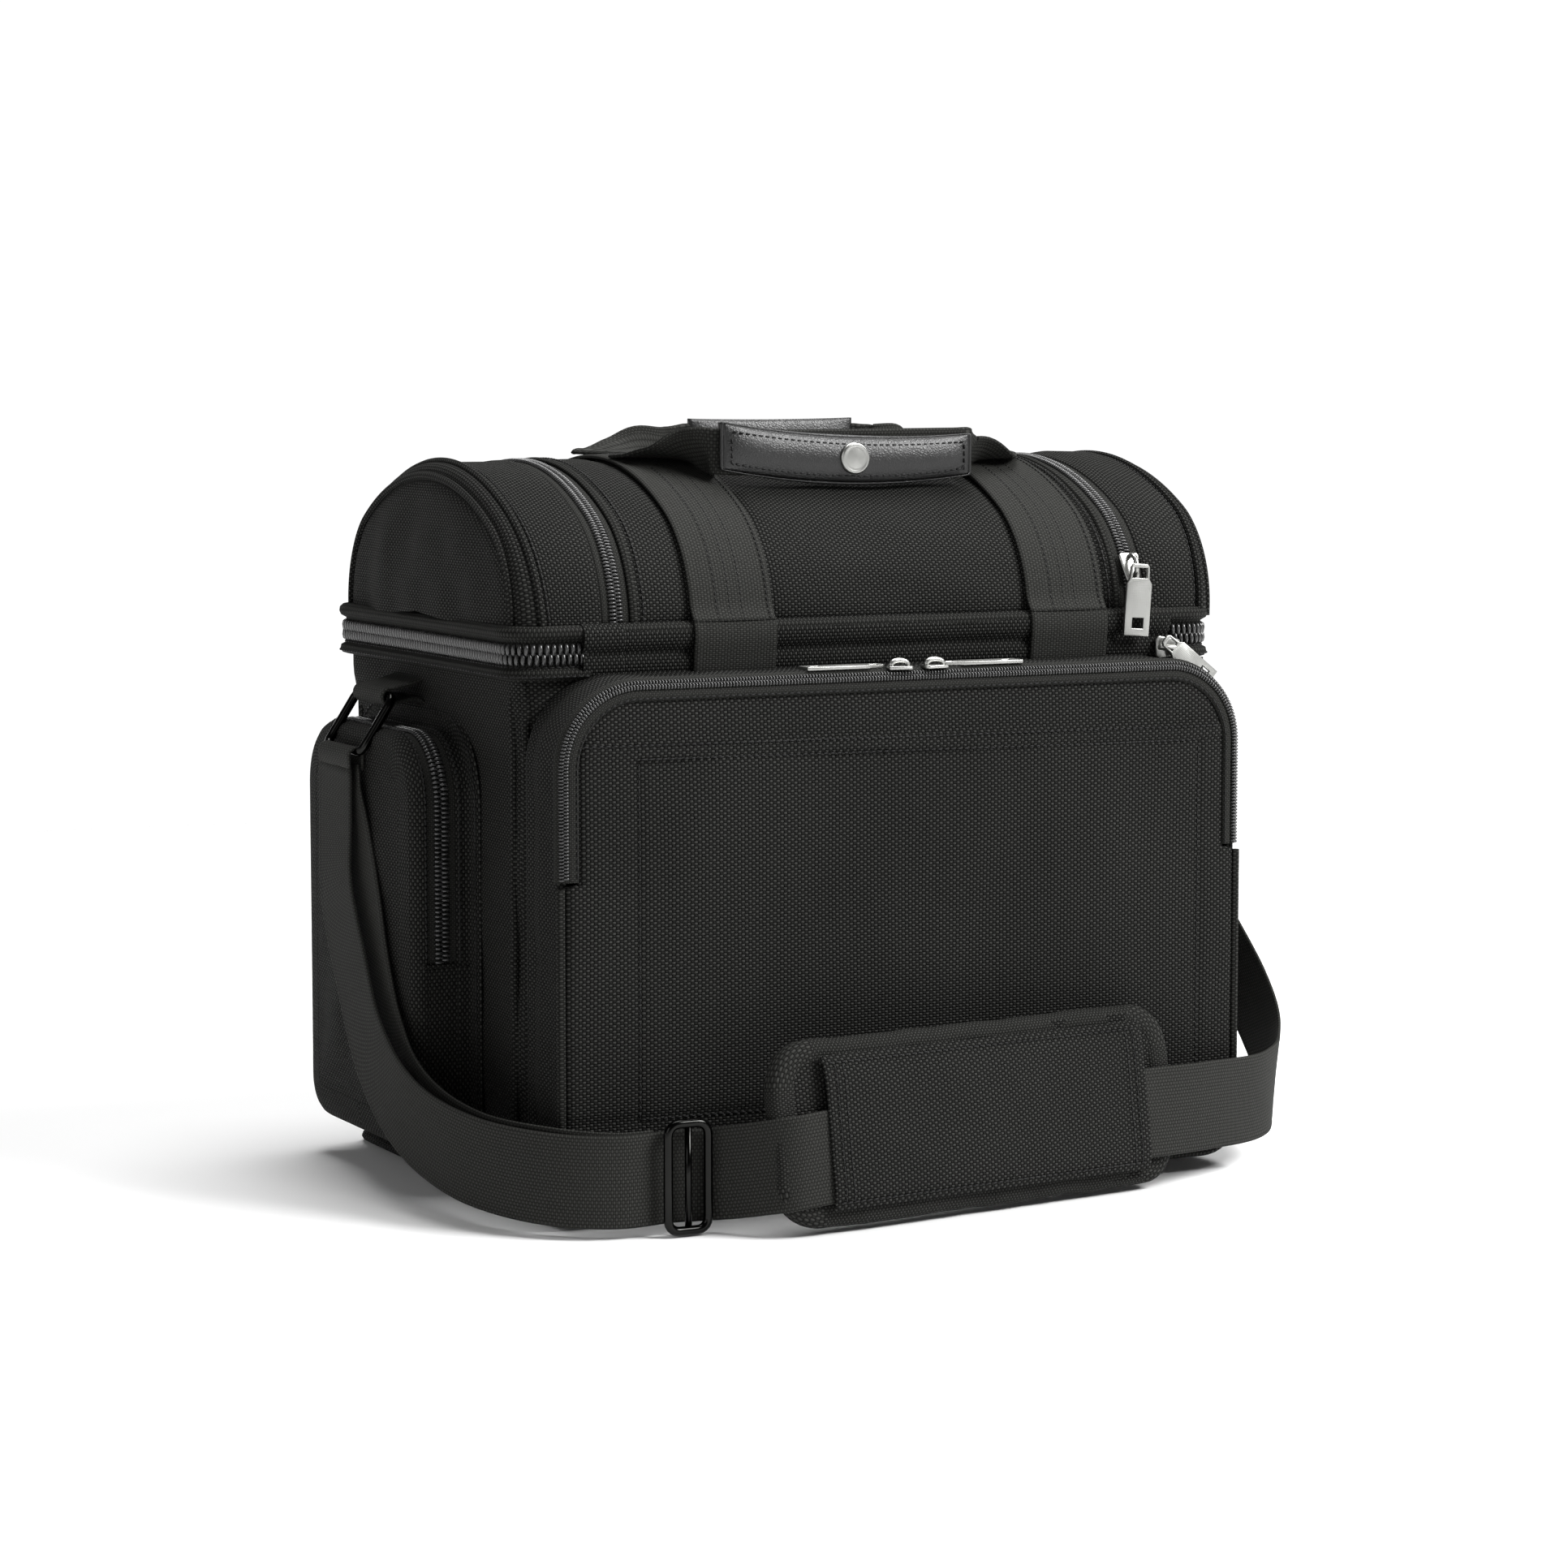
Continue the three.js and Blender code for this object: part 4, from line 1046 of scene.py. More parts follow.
def front_face():
    """The pocket's front, one cloth over the fixed lower half and the half that folds down."""
    rows = []
    lower = np.arange(POCKET_BOTTOM + 1.2, POCKET_FOLD, 1.7)
    upper = np.linspace(POCKET_FOLD + 0.4, POCKET_TOP - 8.4, 48)
    for z in np.concatenate([lower, upper]):
        left, right = pocket_span(z, 1.0 if z < POCKET_FOLD else 8.2)
        row = []
        for share in np.linspace(0, 1, 190):
            x = left + share * (right - left)
            edge = min(x - left, right - x, z - POCKET_BOTTOM, POCKET_TOP - 8.2 - z)
            roll = max(0, 1 - edge / 5) ** 2
            y = POCKET_FACE - face_height(x, z) * (1 - roll) + 3.0 * roll * (1 if z < POCKET_FOLD else 0.25)
            row.append((x, y, z))
        rows.append(row)
    shape = grid(rows, planar=(0, 2))
    nodes = ["front_face_lower", "front_flap"]
    face = build("pocket_front", shape, FACE_NYLON, None, nodes, solid=1.6)
    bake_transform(face)
    sewn = {"body": Geometry(), "pocket_flap": Geometry()}

    def sew(body, ends, count=80):
        (x0, z0), (x1, z1) = ends
        xs, zs = np.linspace(x0, x1, count), np.linspace(z0, z1, count)
        ys = [POCKET_FACE - face_height(x, z) - 0.25 for x, z in zip(xs, zs)]
        path = np.stack([xs, ys, zs], 1)
        sewn[body].add(stitches(path, constant((0, -1, 0), count)))

    hem_l, hem_r = hem_height(-165), hem_height(158)
    sew("pocket_flap", ((-166, hem_l - 1.6), (159, hem_r - 1.6)), 160)
    sew("pocket_flap", ((SLIP_LEFT, hem_l - HEM_DEPTH), (SLIP_RIGHT, hem_r - HEM_DEPTH)), 160)
    sew("body", ((SLIP_LEFT, SLIP_LOW), (SLIP_RIGHT, SLIP_LOW)), 160)
    for x in (SLIP_LEFT, SLIP_RIGHT):
        sew("body", ((x, SLIP_LOW), (x, POCKET_FOLD - 1)))
        sew("pocket_flap", ((x, POCKET_FOLD + 1), (x, hem_height(x) - HEM_DEPTH)))
    build("face_stitches_low", sewn["body"], THREAD, "body")
    build("face_stitches_high", sewn["pocket_flap"], THREAD, "pocket_flap")


GUSSET_SECTION = [
    (-107.2, -1), (-107.8, 0.8), (-110, 1.2), (-116, 0.2), (-122, 0.9), (-128, 0.3), (-133, 0), (-137.5, 0),
    (-139.8, -0.3), (-140.6, -1.6), (-140.4, -4),
]


def front_gusset():
    """The band round the pocket, a welt along its front edge below the zip, and the coil zip above."""
    p, n = loop_of(pocket_outline(0))
    path, out = in_plane(p, "y", 0), in_plane(n, "y", 0)
    wave = ripple(path, 26, 0.8, 5)
    soft = [1 if -132 < y < -110 else 0 for y, _ in GUSSET_SECTION]
    profiles = np.array([[(y, o + w * s) for (y, o), s in zip(GUSSET_SECTION, soft)] for w in wave])
    side = constant((0, 1, 0), len(path))
    shape = sweep(path, side, out, profiles, ring=True, closed=False, flip=True)
    gusset = build("pocket_gusset", shape, NYLON, "body", ["front_gusset"])
    low = p[:, 1] < POCKET_FOLD
    split = int(np.argmax(~low))
    back = len(p) - int(np.argmax(~low[::-1]))
    order = list(range(back, len(p))) + list(range(0, split))
    edge = path[order] + np.array([0, POCKET_FACE + 1.2, 0]) - out[order] * 0.6
    welt = tube(edge, out[order], side[order], 2.0, 8)
    build("pocket_welt", welt, BINDING, "body")
    pocket_zip()


def pocket_zip():
    """The front pocket's coil zip over the folding half: an outer tape on the body, an inner on the flap."""
    p, n = above(*pocket_outline(2.0, 1.5), POCKET_FOLD)
    path, out = in_plane(p, "y", POCKET_FACE + 0.4), in_plane(n, "y", 0)
    forward = np.array([0, -1.0, 0])
    normal = unit(0.55 * out + 0.85 * forward)
    side = unit(0.85 * out - 0.55 * forward)
    teeth = coil_rows(path, side, normal, 4.6, 1.5)
    build("pocket_coil", teeth, COIL, "body", ["front_zip"])
    outer = [(2.0, -0.3), (3.6, -0.5), (4.6, -1.2), (5.0, -2.6)]
    backing = sweep(path, side, normal, [(-2.2, -0.3), *outer], closed=False)
    build("pocket_tape_outer", backing, TAPE, "body", solid=0.6)
    inner = [(-0.6, -0.2), (-2.4, 0.3), (-4.0, 0.9), (-5.6, 1.0), (-6.9, 0.2)]
    p, n = above(*pocket_outline(2.0, 1.5), POCKET_FOLD + 0.4)
    path, out = in_plane(p, "y", POCKET_FACE + 0.1), in_plane(n, "y", 0)
    front = constant(forward, len(path))
    tape = sweep(path, out, front, inner, closed=False, flip=True)
    build("pocket_tape_inner", tape, TAPE, "pocket_flap", solid=0.6)
    seam = path - out * 5.8 + front * 1.2
    build("pocket_tape_stitches", stitches(seam, front, 3.2), THREAD, "pocket_flap")


# ---------- side pockets ----------
def side_outline(inset, step=3.0):
    return rounded_outline(
        (SIDE_FRONT + inset, SIDE_LOW + inset),
        (SIDE_BACK - inset, SIDE_TOP - inset),
        max(SIDE_RADIUS_TOP - inset, 1),
        max(SIDE_RADIUS_LOW - inset, 1),
        step,
    )


def side_pocket(hand, sx):
    """A soft box sewn on the side: a flange, a flank with its coil zip, and a rounded outer panel."""
    p, n = loop_of(side_outline(0))
    path, out = in_plane(p, "x", 0), in_plane(n, "x", 0)
    side = constant((sx, 0, 0), len(path))
    zipped = p[:, 1] > SIDE_FOLD
    face = HALF_X + SIDE_DEPTH
    profiles = []
    wave = ripple(path, 30, 1.0, 6 + sx)
    for has_zip, w in zip(zipped, wave):
        dip = -1.3 if has_zip else 0.2
        flange = [(1.2, 10.2), (2.4, 9.6), (2.8, 6 + 0.3 * w), (2.9, 2.5), (3.6, 0.6)]
        inner = [(5.5, 0.4 + 0.4 * w), (7.5, 0.5 + 0.3 * w), (8.6, 0.2)]
        zip_bed = [(9.2, dip), (22.8, dip)]
        outer = [(23.4, 0.1), (24.4, 0.2), (26.6, -0.6), (28.6, -2.0), (30.2, -4.4)]
        profile = [(HALF_X + reach, lift) for reach, lift in flange + inner + zip_bed + outer]
        profiles.append(profile + [(face - 0.2, -8.5), (face + 0.3, -15.5)])
    flank = sweep(path, side, out, np.array(profiles), ring=True, closed=False, flip=sx > 0)
    # the flank's cloth is cut the other way, so its weave runs like the panel's
    flank.uv = [(v, u) for u, v in flank.uv]
    centre = p.mean(0)
    rows = []
    for share in np.linspace(0, 1, 22):
        inner = p - n * 15.5
        flat = centre + (inner - centre) * (1 - share)
        body = in_plane(flat, "x", 0)
        crown = 0.2 + 2.4 * math.sin(share * math.pi / 2)
        body[:, 0] = sx * (face + crown + ripple(body, 34, 0.9, 8 + sx) * min(1, 4 * share))
        rows.append(body)
    panel = grid(np.array(rows), wrap=True, planar=(1, 2), flip=sx > 0)
    shape = flank.add(panel)
    nodes = [f"{hand}_pocket_box", f"{hand}_pocket_cover"]
    box = build(f"{hand}_side_pocket", shape, NYLON, "body", nodes)
    q, m = above(*side_outline(0, 1.6), SIDE_FOLD)
    middle, outward = in_plane(q, "x", sx * (HALF_X + SIDE_ZIP)), in_plane(m, "x", 0)
    across = constant((sx, 0, 0), len(middle))
    teeth = coil_rows(middle - outward * 0.4, across, outward, 7.6, 2.1)
    build(f"{hand}_pocket_coil", teeth, COIL, "body")
    tapes = Geometry()
    for near, far in ((-6.7, -0.5), (0.5, 6.7)):
        tapes.add(sweep(middle, across, outward, [(near, -1.0), (far, -1.0)], closed=False, flip=sx > 0))
    build(f"{hand}_pocket_tapes", tapes, TAPE, "body")
    hems = Geometry()
    for y, away in ((SIDE_FRONT, -1), (SIDE_BACK, 1)):
        levels = np.linspace(2.6, 26, 12)
        hem = np.array([(sx * (HALF_X + x), y + away * 0.5, SIDE_FOLD - 0.6) for x in levels])
        hems.add(tube(hem, constant((0, 0, 1), 12), constant((0, away, 0), 12), 0.9, 8))
    build(f"{hand}_pocket_hems", hems, NYLON, "body")
    sewn = Geometry()
    for level, lift in ((HALF_X + 7.8, 0.6), (HALF_X + 24, 0.4)):
        line = in_plane(q, "x", sx * level) + outward * lift
        sewn.add(stitches(line, outward, 3.2))
    flange_line, _ = side_outline(-8)
    line = in_plane(flange_line, "x", sx * (HALF_X + 3.1))
    sewn.add(stitches(line, constant((sx, 0, 0), len(line))))
    build(f"{hand}_pocket_stitches", sewn, THREAD, "body")


# ---------- strap rings and tabs ----------
def strap_anchor(hand, sx):
    """A wire ring that hangs tilted on the side, and the turn of webbing that holds it."""
    across = RING_WIDTH / 2 - RING_BAR / 2
    p, n = loop_of(rounded_outline((-across, -RING_LENGTH + RING_BAR), (across, 0), 4, 4, 1.5))
    direction = np.array([math.cos(RING_TILT), 0, -math.sin(RING_TILT)])
    origin = np.array([RING_X, RING_Y, RING_Z])
    path = origin + np.outer(p[:, 0], (0, 1, 0)) + np.outer(-p[:, 1], direction)
    out = np.outer(n[:, 0], (0, 1, 0)) + np.outer(-n[:, 1], direction)
    flat = constant((math.sin(RING_TILT), 0, math.cos(RING_TILT)), len(path))
    mirror = np.array([sx, 1, 1])
    ring = tube(path * mirror, out * mirror, flat * mirror, RING_BAR / 2 - 0.05, 12, ring=True)
    build(f"{hand}_ring_wire", ring, BLACK_METAL, f"{hand}_ring", [f"{hand}_strap_ring"])
    radius = RING_BAR / 2 + 1.4
    turn = np.radians(np.linspace(100, -120, 14))
    loop = [(RING_X + radius * math.cos(t), RING_Y, RING_Z + radius * math.sin(t)) for t in turn]
    wall = HALF_X + 0.6
    above_ring = [(wall, 10), (wall + 1.4, 8), (wall + 8, 5.6)]
    below_ring = [(RING_X - 6, -2.4), (wall + 3.5, -1.5), (wall + 0.8, -4)]
    path = [(x, RING_Y, RING_Z + rise) for x, rise in above_ring] + loop
    path += [(x, RING_Y, RING_Z + rise) for x, rise in below_ring]
    smooth, _ = spline(np.array(path) * mirror, np.zeros((len(path), 1)), 1.2)
    across_dirs, normal = squared(smooth, constant(ALONG, len(smooth)))
    tab = sweep(smooth, across_dirs, normal, webbing_profile(STRAP_WIDTH - 3, 1.8), caps=True)
    build(f"{hand}_tab_webbing", tab, WEBBING, "body", [f"{hand}_strap_tab"])


# ---------- upper compartment ----------
def dome_side(hand, sx):
    """An end of the barrel top: gusset, piped seam, rounded shoulder and the crowned end panel."""
    p, n = arch_path(-90, 90, 3.0, front_foot=SPLIT + 8, back_foot=SPLIT + 8)
    path, out = in_plane(p, "x", 0), in_plane(n, "x", 0)
    side = constant((sx, 0, 0), len(path))
    wave = ripple(path, 34, 1.1, 9 + sx)
    reach = HALF_X + (3.4 if sx < 0 else 0.6)
    puff = 0 if sx < 0 else 1.6
    arc = np.radians(np.linspace(0, 90, 9))
    profiles = []
    for height, w in zip(p[:, 1], wave):
        high_up = np.clip((height - SPRING) / 46, 0, 1)
        radius = (9 if sx < 0 else 4.5) - 3 * high_up
        shoulder = [
            (reach - radius + radius * math.sin(a), -radius * (1 - math.cos(a)) + 0.4 * math.sin(2 * a))
            for a in arc
        ]
        flat = [
            (ARCH_ZIP_X + 6.6, -3.0),
            (ARCH_ZIP_X + 6.9, -0.4),
            (ARCH_ZIP_X + 8, 0.8),
            (ARCH_ZIP_X + 11, 0.9 + 0.3 * w),
            (ARCH_ZIP_X + 16, 0.5 + puff + 0.6 * w),
            (reach - radius - 6, 0.5 + 0.7 * puff + 0.5 * w),
            (reach - radius - 2.6, -0.6),
        ]
        profiles.append(flat + shoulder + [(reach + 1.4, -radius - 3)])
    gusset = sweep(path, side, out, np.array(profiles), closed=False, flip=sx < 0)
    ends = np.array([profile[-1][1] for profile in profiles])
    edge = p + n * ends[:, None]
    centre = np.array([0, SPLIT + 14])
    rows = []
    for share in np.linspace(0, 1, 24):
        flat_ring = centre + (edge - centre) * (1 - share)
        body = in_plane(flat_ring, "x", 0)
        crown = 1.5 + 5.0 * math.sin(share * math.pi / 2) ** 0.6
        body[:, 0] = sx * (reach + crown + ripple(body, 30, 1.6, 11 + sx) * min(1, 3 * share))
        rows.append(body)
    panel = grid(np.array(rows), planar=(1, 2), flip=sx < 0)
    shape = gusset.add(panel)
    nodes = [f"{hand}_dome_end", f"{hand}_dome_gusset"]
    end = build(f"{hand}_dome_side", shape, NYLON, "dome", nodes)
    seam_x = np.array([profile[len(flat)][0] - 1.2 for profile in profiles])
    line = path + side * seam_x[:, None] + out * 0.5
    piping = tube(line, side, out, 1.8, 8)
    piping.add(tube(path + side * (reach + 1.2) + out * (ends + 3.4)[:, None], side, out, 1.6, 8))
    build(f"{hand}_dome_piping", piping, NYLON, "dome")
    sewn = stitches(path + side * (seam_x - 3.2)[:, None] + out * 0.8, out, 3.2)
    build(f"{hand}_dome_stitches", sewn, THREAD, "dome")


ARCH_START = -turn_at_height(SPLIT + 12.6)
ARCH_STOP = turn_at_height(LID_BACK_HEIGHT - 7)
ARCH_TAPE = [(0.4, -0.2), (3.4, -0.1), (5.4, 0.1), (7.6, -0.4)]
ARCH_TAPE_LID = [(-7.4, -0.4), (-5.4, 0.1), (-3.4, -0.1), (-0.4, -0.2)]
ARCH_TAPE_BACK = [(-7.4, -0.4), (-3.4, -0.1), (3.4, -0.1), (7.4, -0.4)]


def arch_zip():
    """The coil zip up over the barrel top at both ends and across its back, on two tapes."""
    lid_side, dome_tapes, coils = Geometry(), Geometry(), Geometry()
    p, n = arch_path(ARCH_START, ARCH_STOP, 1.6)
    for sx in (-1, 1):
        path, out = in_plane(p, "x", sx * ARCH_ZIP_X), in_plane(n, "x", 0)
        side = constant((sx, 0, 0), len(path))
        coils.add(coil_rows(path + out * 0.3, side, out, 7.0, 1.7))
        dome_tapes.add(sweep(path, side, out, ARCH_TAPE, closed=False, flip=sx < 0))
        lid_side.add(sweep(path, side, out, ARCH_TAPE_LID, closed=False, flip=sx < 0))
    y, z = arch_point(ARCH_STOP)
    normal = np.array([0, math.sin(math.radians(ARCH_STOP)), math.cos(math.radians(ARCH_STOP))])
    down = np.array([0, normal[2], -normal[1]])
    xs = np.linspace(-ARCH_ZIP_X, ARCH_ZIP_X, 160)
    path = np.stack([xs, np.full(160, y), np.full(160, z)], 1)
    side, out = constant(down, 160), constant(normal, 160)
    coils.add(coil_rows(path + normal * 0.3, side, out, 7.0, 1.7))
    dome_tapes.add(sweep(path, side, out, ARCH_TAPE_BACK, closed=False, flip=True))
    build("arch_coil", coils, COIL, "dome", ["dome_zip"])
    build("arch_tape", dome_tapes, TAPE, "dome", solid=0.7)
    build("arch_tape_lid", lid_side, TAPE, "lid", solid=0.7)


def dome_back():
    """The low panel across the back, between the arched zip and the main zip."""
    p, n = arch_path(turn_at_height(LID_BACK_HEIGHT - 14), 90, 3.0, back_foot=SPLIT + 10)
    path, out = in_plane(p, "x", 0), in_plane(n, "x", 0)
    xs = np.linspace(-ARCH_ZIP_X - 6, ARCH_ZIP_X + 6, 90)
    shape = sweep(path, constant((1, 0, 0), len(path)), out, [(x, 0.1) for x in xs], closed=False)
    build("dome_back_panel", shape, NYLON, "dome", ["dome_back_strip"], solid=3)


def lid_lift(x, turn):
    """How far the lid's padded cloth stands off the arch: soft, and held down along the webbing."""
    edge = min(1.0, (LID_HALF - abs(x)) / 4)
    held = sum(math.exp(-(((abs(x - strip) - STRIP_WIDTH / 2) / 5) ** 2)) for strip in STRIP_X)
    ends = min(1.0, (turn - ARCH_START) / 5, (turn_at_height(LID_BACK_HEIGHT) - turn) / 5)
    under = max(0.0, 1 - max(0.0, min(abs(x - strip) for strip in STRIP_X) - STRIP_WIDTH / 2) / 4)
    swell = 1.1 * max(edge, 0) ** 0.5 * max(ends, 0) ** 0.5 - 0.7 * held
    return (swell + 1.3 * noise.noise(Vector((x / 38, turn / 22, 2)))) * (1 - 0.85 * under)


def lid():
    """The padded cloth of the barrel top that folds forward, with its bound edges and webbing strips."""
    turns = np.linspace(ARCH_START, turn_at_height(LID_BACK_HEIGHT), 110)
    rows = []
    for turn in turns:
        row = []
        for x in np.linspace(-LID_HALF, LID_HALF, 150):
            y, z = arch_point(turn, lid_lift(x, turn) - 0.3)
            row.append((x, y, z))
        rows.append(row)
    panel = build("lid_panel", grid(np.array(rows)), NYLON, "lid", ["dome_lid"], solid=3.2)
    p, n = arch_path(ARCH_START, ARCH_STOP, 2.0)
    bindings, sewn = Geometry(), Geometry()
    for sx in (-1, 1):
        path, out = in_plane(p, "x", sx * (LID_HALF - 1.6)), in_plane(n, "x", 0)
        bindings.add(tube(path + out * 0.5, constant((sx, 0, 0), len(path)), out, 2.0, 8, squash=0.7))
        sewn.add(stitches(path + out * 1.4 - np.array([sx * 4.4, 0, 0]), out, 3.2))
    build("lid_binding", bindings, BINDING, "lid")
    build("lid_stitches", sewn, THREAD, "lid")
    for hand, x in (("left", STRIP_X[0]), ("right", STRIP_X[1])):
        strip(hand, x)


STRIP_END = [
    (262.8, 5.6), (260, 6.3), (256, 6.6), (252, 6.2), (248, 5.6), (244, 5.2), (240, 4.4), (236, 2.4),
]


def strip(hand, x):
    """A webbing strip sewn over the lid from front to back, and its short end below the hinge fold."""
    turns = np.linspace(ARCH_START, turn_at_height(LID_BACK_HEIGHT), 100)
    path, out = [], []
    for turn in turns:
        lifted = 3.8 * max(0, 1 - (turn - ARCH_START) / 9) ** 2
        y, z = arch_point(turn, 1.9 + lifted)
        path.append((x, y, z))
        out.append((0, math.sin(math.radians(turn)), math.cos(math.radians(turn))))
    path, out = np.array(path), np.array(out)
    across = constant((1, 0, 0), len(path))
    band = sweep(path, across, out, webbing_profile(STRIP_WIDTH, 2.0, cup=0.35), caps=True, flip=True)
    nodes = [f"front_strip_{hand}", f"rear_strip_{hand}"]
    build(f"strip_{hand}", band, WEBBING, "lid", nodes)
    sewn = Geometry()
    for shift in (-8, -1.5, 4.5, 17.5):
        sewn.add(stitches(path + out * 1.25 + np.array([shift, 0, 0]), out, 3.0, 2.2, 0.3))
    build(f"strip_{hand}_stitches", sewn, THREAD, "lid")
    stations = [(x, -HALF_Y - reach, z) for z, reach in STRIP_END]
    low_path, _ = spline(stations, np.zeros((len(stations), 1)), 1.5)
    side, normal = squared(low_path, constant((1, 0, 0), len(low_path)))
    low = sweep(low_path, side, normal, webbing_profile(STRIP_WIDTH, 1.8), caps=True)
    end = build(f"strip_{hand}_end", low, WEBBING, None, ())
    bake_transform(end)


# ---------- handles ----------
FRONT_HANDLE = {
    "axis_y": -18, "axis_z": 334.6, "y": -61, "bottom": 323.2, "height": 27, "left": -60, "right": 68,
    "high": (350.4, -22, 16), "low": (328.8, -23.5, 19.8), "rise": 10, "fold_width": 27,
}
REAR_HANDLE = {
    "axis_y": 18, "axis_z": 334.6, "y": 44, "bottom": 327.2, "height": 23.5, "left": -26, "right": 62,
    "high": (350.6, -2.4, 2.4), "low": (328.6, -4, 4), "rise": 5, "fold_width": 23,
}


def handle(name, at, nodes, body):
    """Two webbing arms that lift off the lid, turn on edge and run through a stitched leather sleeve."""
    middle = at["bottom"] + at["height"] / 2
    s = math.copysign(1, at["y"])
    narrow = at["height"] - 6
    foot, top, y = at["axis_y"], at["axis_z"], at["y"]
    reach = abs(y - foot)
    left, right = STRIP_X
    near_left, near_right = at["left"] - 3, at["right"] + 3
    run = near_left - left

    def resting(share, lift):
        """Depth and height of a point part of the way out from the foot, lifted off the lid."""
        depth = foot + s * share * reach
        return depth, APEX - depth**2 / (2 * TOP_RADIUS) + 3.7 + lift

    stations = [
        ((left, foot + s * 0.5, top), (1, 0, 0), STRIP_WIDTH),
        ((left + 0.06 * run, *resting(0.2, 1.0)), (1, 0, -0.03), 40),
        ((left + 0.28 * run, *resting(0.45, 0.4 * at["rise"])), (1, 0, -0.16), 34),
        ((left + 0.79 * run, *resting(0.78, at["rise"])), (0.62, 0, -0.78), at["fold_width"]),
        ((near_left, y - s * 1.2, middle + 0.6), (0.05, 0, -1), narrow),
        ((at["left"] + 6, y, middle), (0, 0, -1), narrow),
        ((at["right"] - 6, y, middle), (0, 0, -1), narrow),
        ((near_right, y - s * 1.2, middle), (-0.05, 0, -1), narrow),
        ((near_right + 3, *resting(0.78, 6.5)), (-0.62, 0, -0.78), 22),
        ((right - 4, *resting(0.45, 1.2)), (-1, 0, -0.06), 32),
        ((right - 1, *resting(0.2, 0.4)), (-1, 0, -0.02), 40),
        ((right, foot + s * 0.5, top), (-1, 0, 0), STRIP_WIDTH),
    ]
    band = ribbon(stations, STRIP_WIDTH, 2.0, step=2.0)[0]
    build(f"{name}_arms", band, WEBBING, body, [nodes[0]])
    leather_sleeve(name, at, nodes[1], body)


def leather_edge(x, at, edge):
    """Height of the leather's upper or lower edge: its level at the left end, slope and bend."""
    share = (x - at["left"]) / (at["right"] - at["left"])
    level, slope, bend = at[edge]
    return level + slope * share + bend * share * share


def leather_sheet(at, y, bow, grow=0.0):
    """One bowed face of the leather, which comes back to y at its edges."""
    left, right = at["left"], at["right"]
    centre, half = (left + right) / 2, (right - left) / 2 + grow + 0.01
    result = []
    for share in np.linspace(0, 1, 16):
        row = []
        for x in np.linspace(left - grow, right + grow, 64):
            low, high = leather_edge(x, at, "low"), leather_edge(x, at, "high")
            around = math.sin(math.pi * share)
            ends = 1 - abs((x - centre) / half) ** 10
            row.append((x, y + bow * (around**0.75) * ends, low + (high - low) * share))
        result.append(row)
    return np.array(result)


def leather_sleeve(name, at, node, body):
    """The leather round a handle's grip, closed at both ends, and its stitches."""
    s = math.copysign(1, at["y"])
    outer = leather_sheet(at, at["y"] + s * 1.4, s * 2.6)
    inner = leather_sheet(at, at["y"] - s * 1.4, -s * 2.2)
    closed = np.concatenate([outer, inner[::-1], outer[:1]])
    shape = grid(closed, flip=s > 0)
    for column, order in ((0, 1), (closed.shape[1] - 1, -1)):
        face = [r * closed.shape[1] + column for r in range(len(closed) - 1)][::order]
        shape.faces.append(tuple(face))
        shape.uv += [(0, 0)] * len(face)
    build(f"{name}_leather", shape, LEATHER, body, [node])
    sew_leather(f"{name}_leather_stitches", at, at["y"] + s * 3.3, s, body)


def sew_leather(name, at, y, s, body):
    """The rectangle of stitches inside the leather's edge."""
    inset = 3.4
    left, right = at["left"] + inset, at["right"] - inset
    top = [(x, y, leather_edge(x, at, "high") - inset) for x in np.linspace(left, right, 60)]
    low = [(x, y, leather_edge(x, at, "low") + inset) for x in np.linspace(right, left, 60)]
    path = np.array(top + low + top[:1])
    fine = evenly(path, 1.0)
    build(name, stitches(fine, constant((0, s, 0), len(fine)), 3.3, 2.3, 0.42), THREAD, body)


def evenly(path, step):
    """Points at an even step along a path in space."""
    lengths = arc_lengths(path)
    at = np.linspace(0, lengths[-1], int(lengths[-1] / step) + 1)
    return np.stack([np.interp(at, lengths, path[:, i]) for i in range(3)], 1)


CAP_RADIUS = 7.5
CAP_SECTION = [
    (CAP_RADIUS - 0.6, 1.2),
    (CAP_RADIUS, 0.6),
    (CAP_RADIUS, -0.4),
    (CAP_RADIUS - 0.5, -1.2),
    (CAP_RADIUS - 1.3, -1.5),
    (CAP_RADIUS - 1.8, -1.2),
    (CAP_RADIUS - 3, -1.35),
    (2, -1.75),
    (0.01, -1.8),
]


def wrap():
    """The leather flap snapped round the front handle, and its cap."""
    at = FRONT_HANDLE
    y = at["y"] - 5.0
    front = leather_sheet(at, y, -3.4, grow=0.6)
    shape = grid(front)
    build("wrap_leather", shape, LEATHER, "handle_wrap", ["wrap_flap"], solid=1.6)
    edge = np.concatenate([front[0], front[1:, -1], front[-1][::-1][1:], front[::-1][1:, 0]])
    fine = evenly(edge, 1.5)
    out = unit((fine - fine.mean(0)) * (0.4, 0, 1))[:-1]
    fine = fine[:-1] + np.array([0, 0.8, 0])
    rim = tube(fine, out, constant((0, 1, 0), len(fine)), 1.0, 8, ring=True)
    build("wrap_edge", rim, LEATHER, "handle_wrap")
    sew_leather("wrap_stitches", at, y - 1.9, -1, "handle_wrap")
    x, z = (STRIP_X[0] + STRIP_X[1]) / 2 - 3.4, at["bottom"] + at["height"] / 2 - 3.2
    turns = np.linspace(0, 2 * math.pi, 48, endpoint=False)
    cap = [
        [(x + r * math.cos(t), y - 3.4 + lift, z + r * math.sin(t)) for t in turns] for r, lift in CAP_SECTION
    ]
    build("snap_cap_disc", grid(np.array(cap), wrap=True), NICKEL, "handle_wrap", ["snap_cap"])


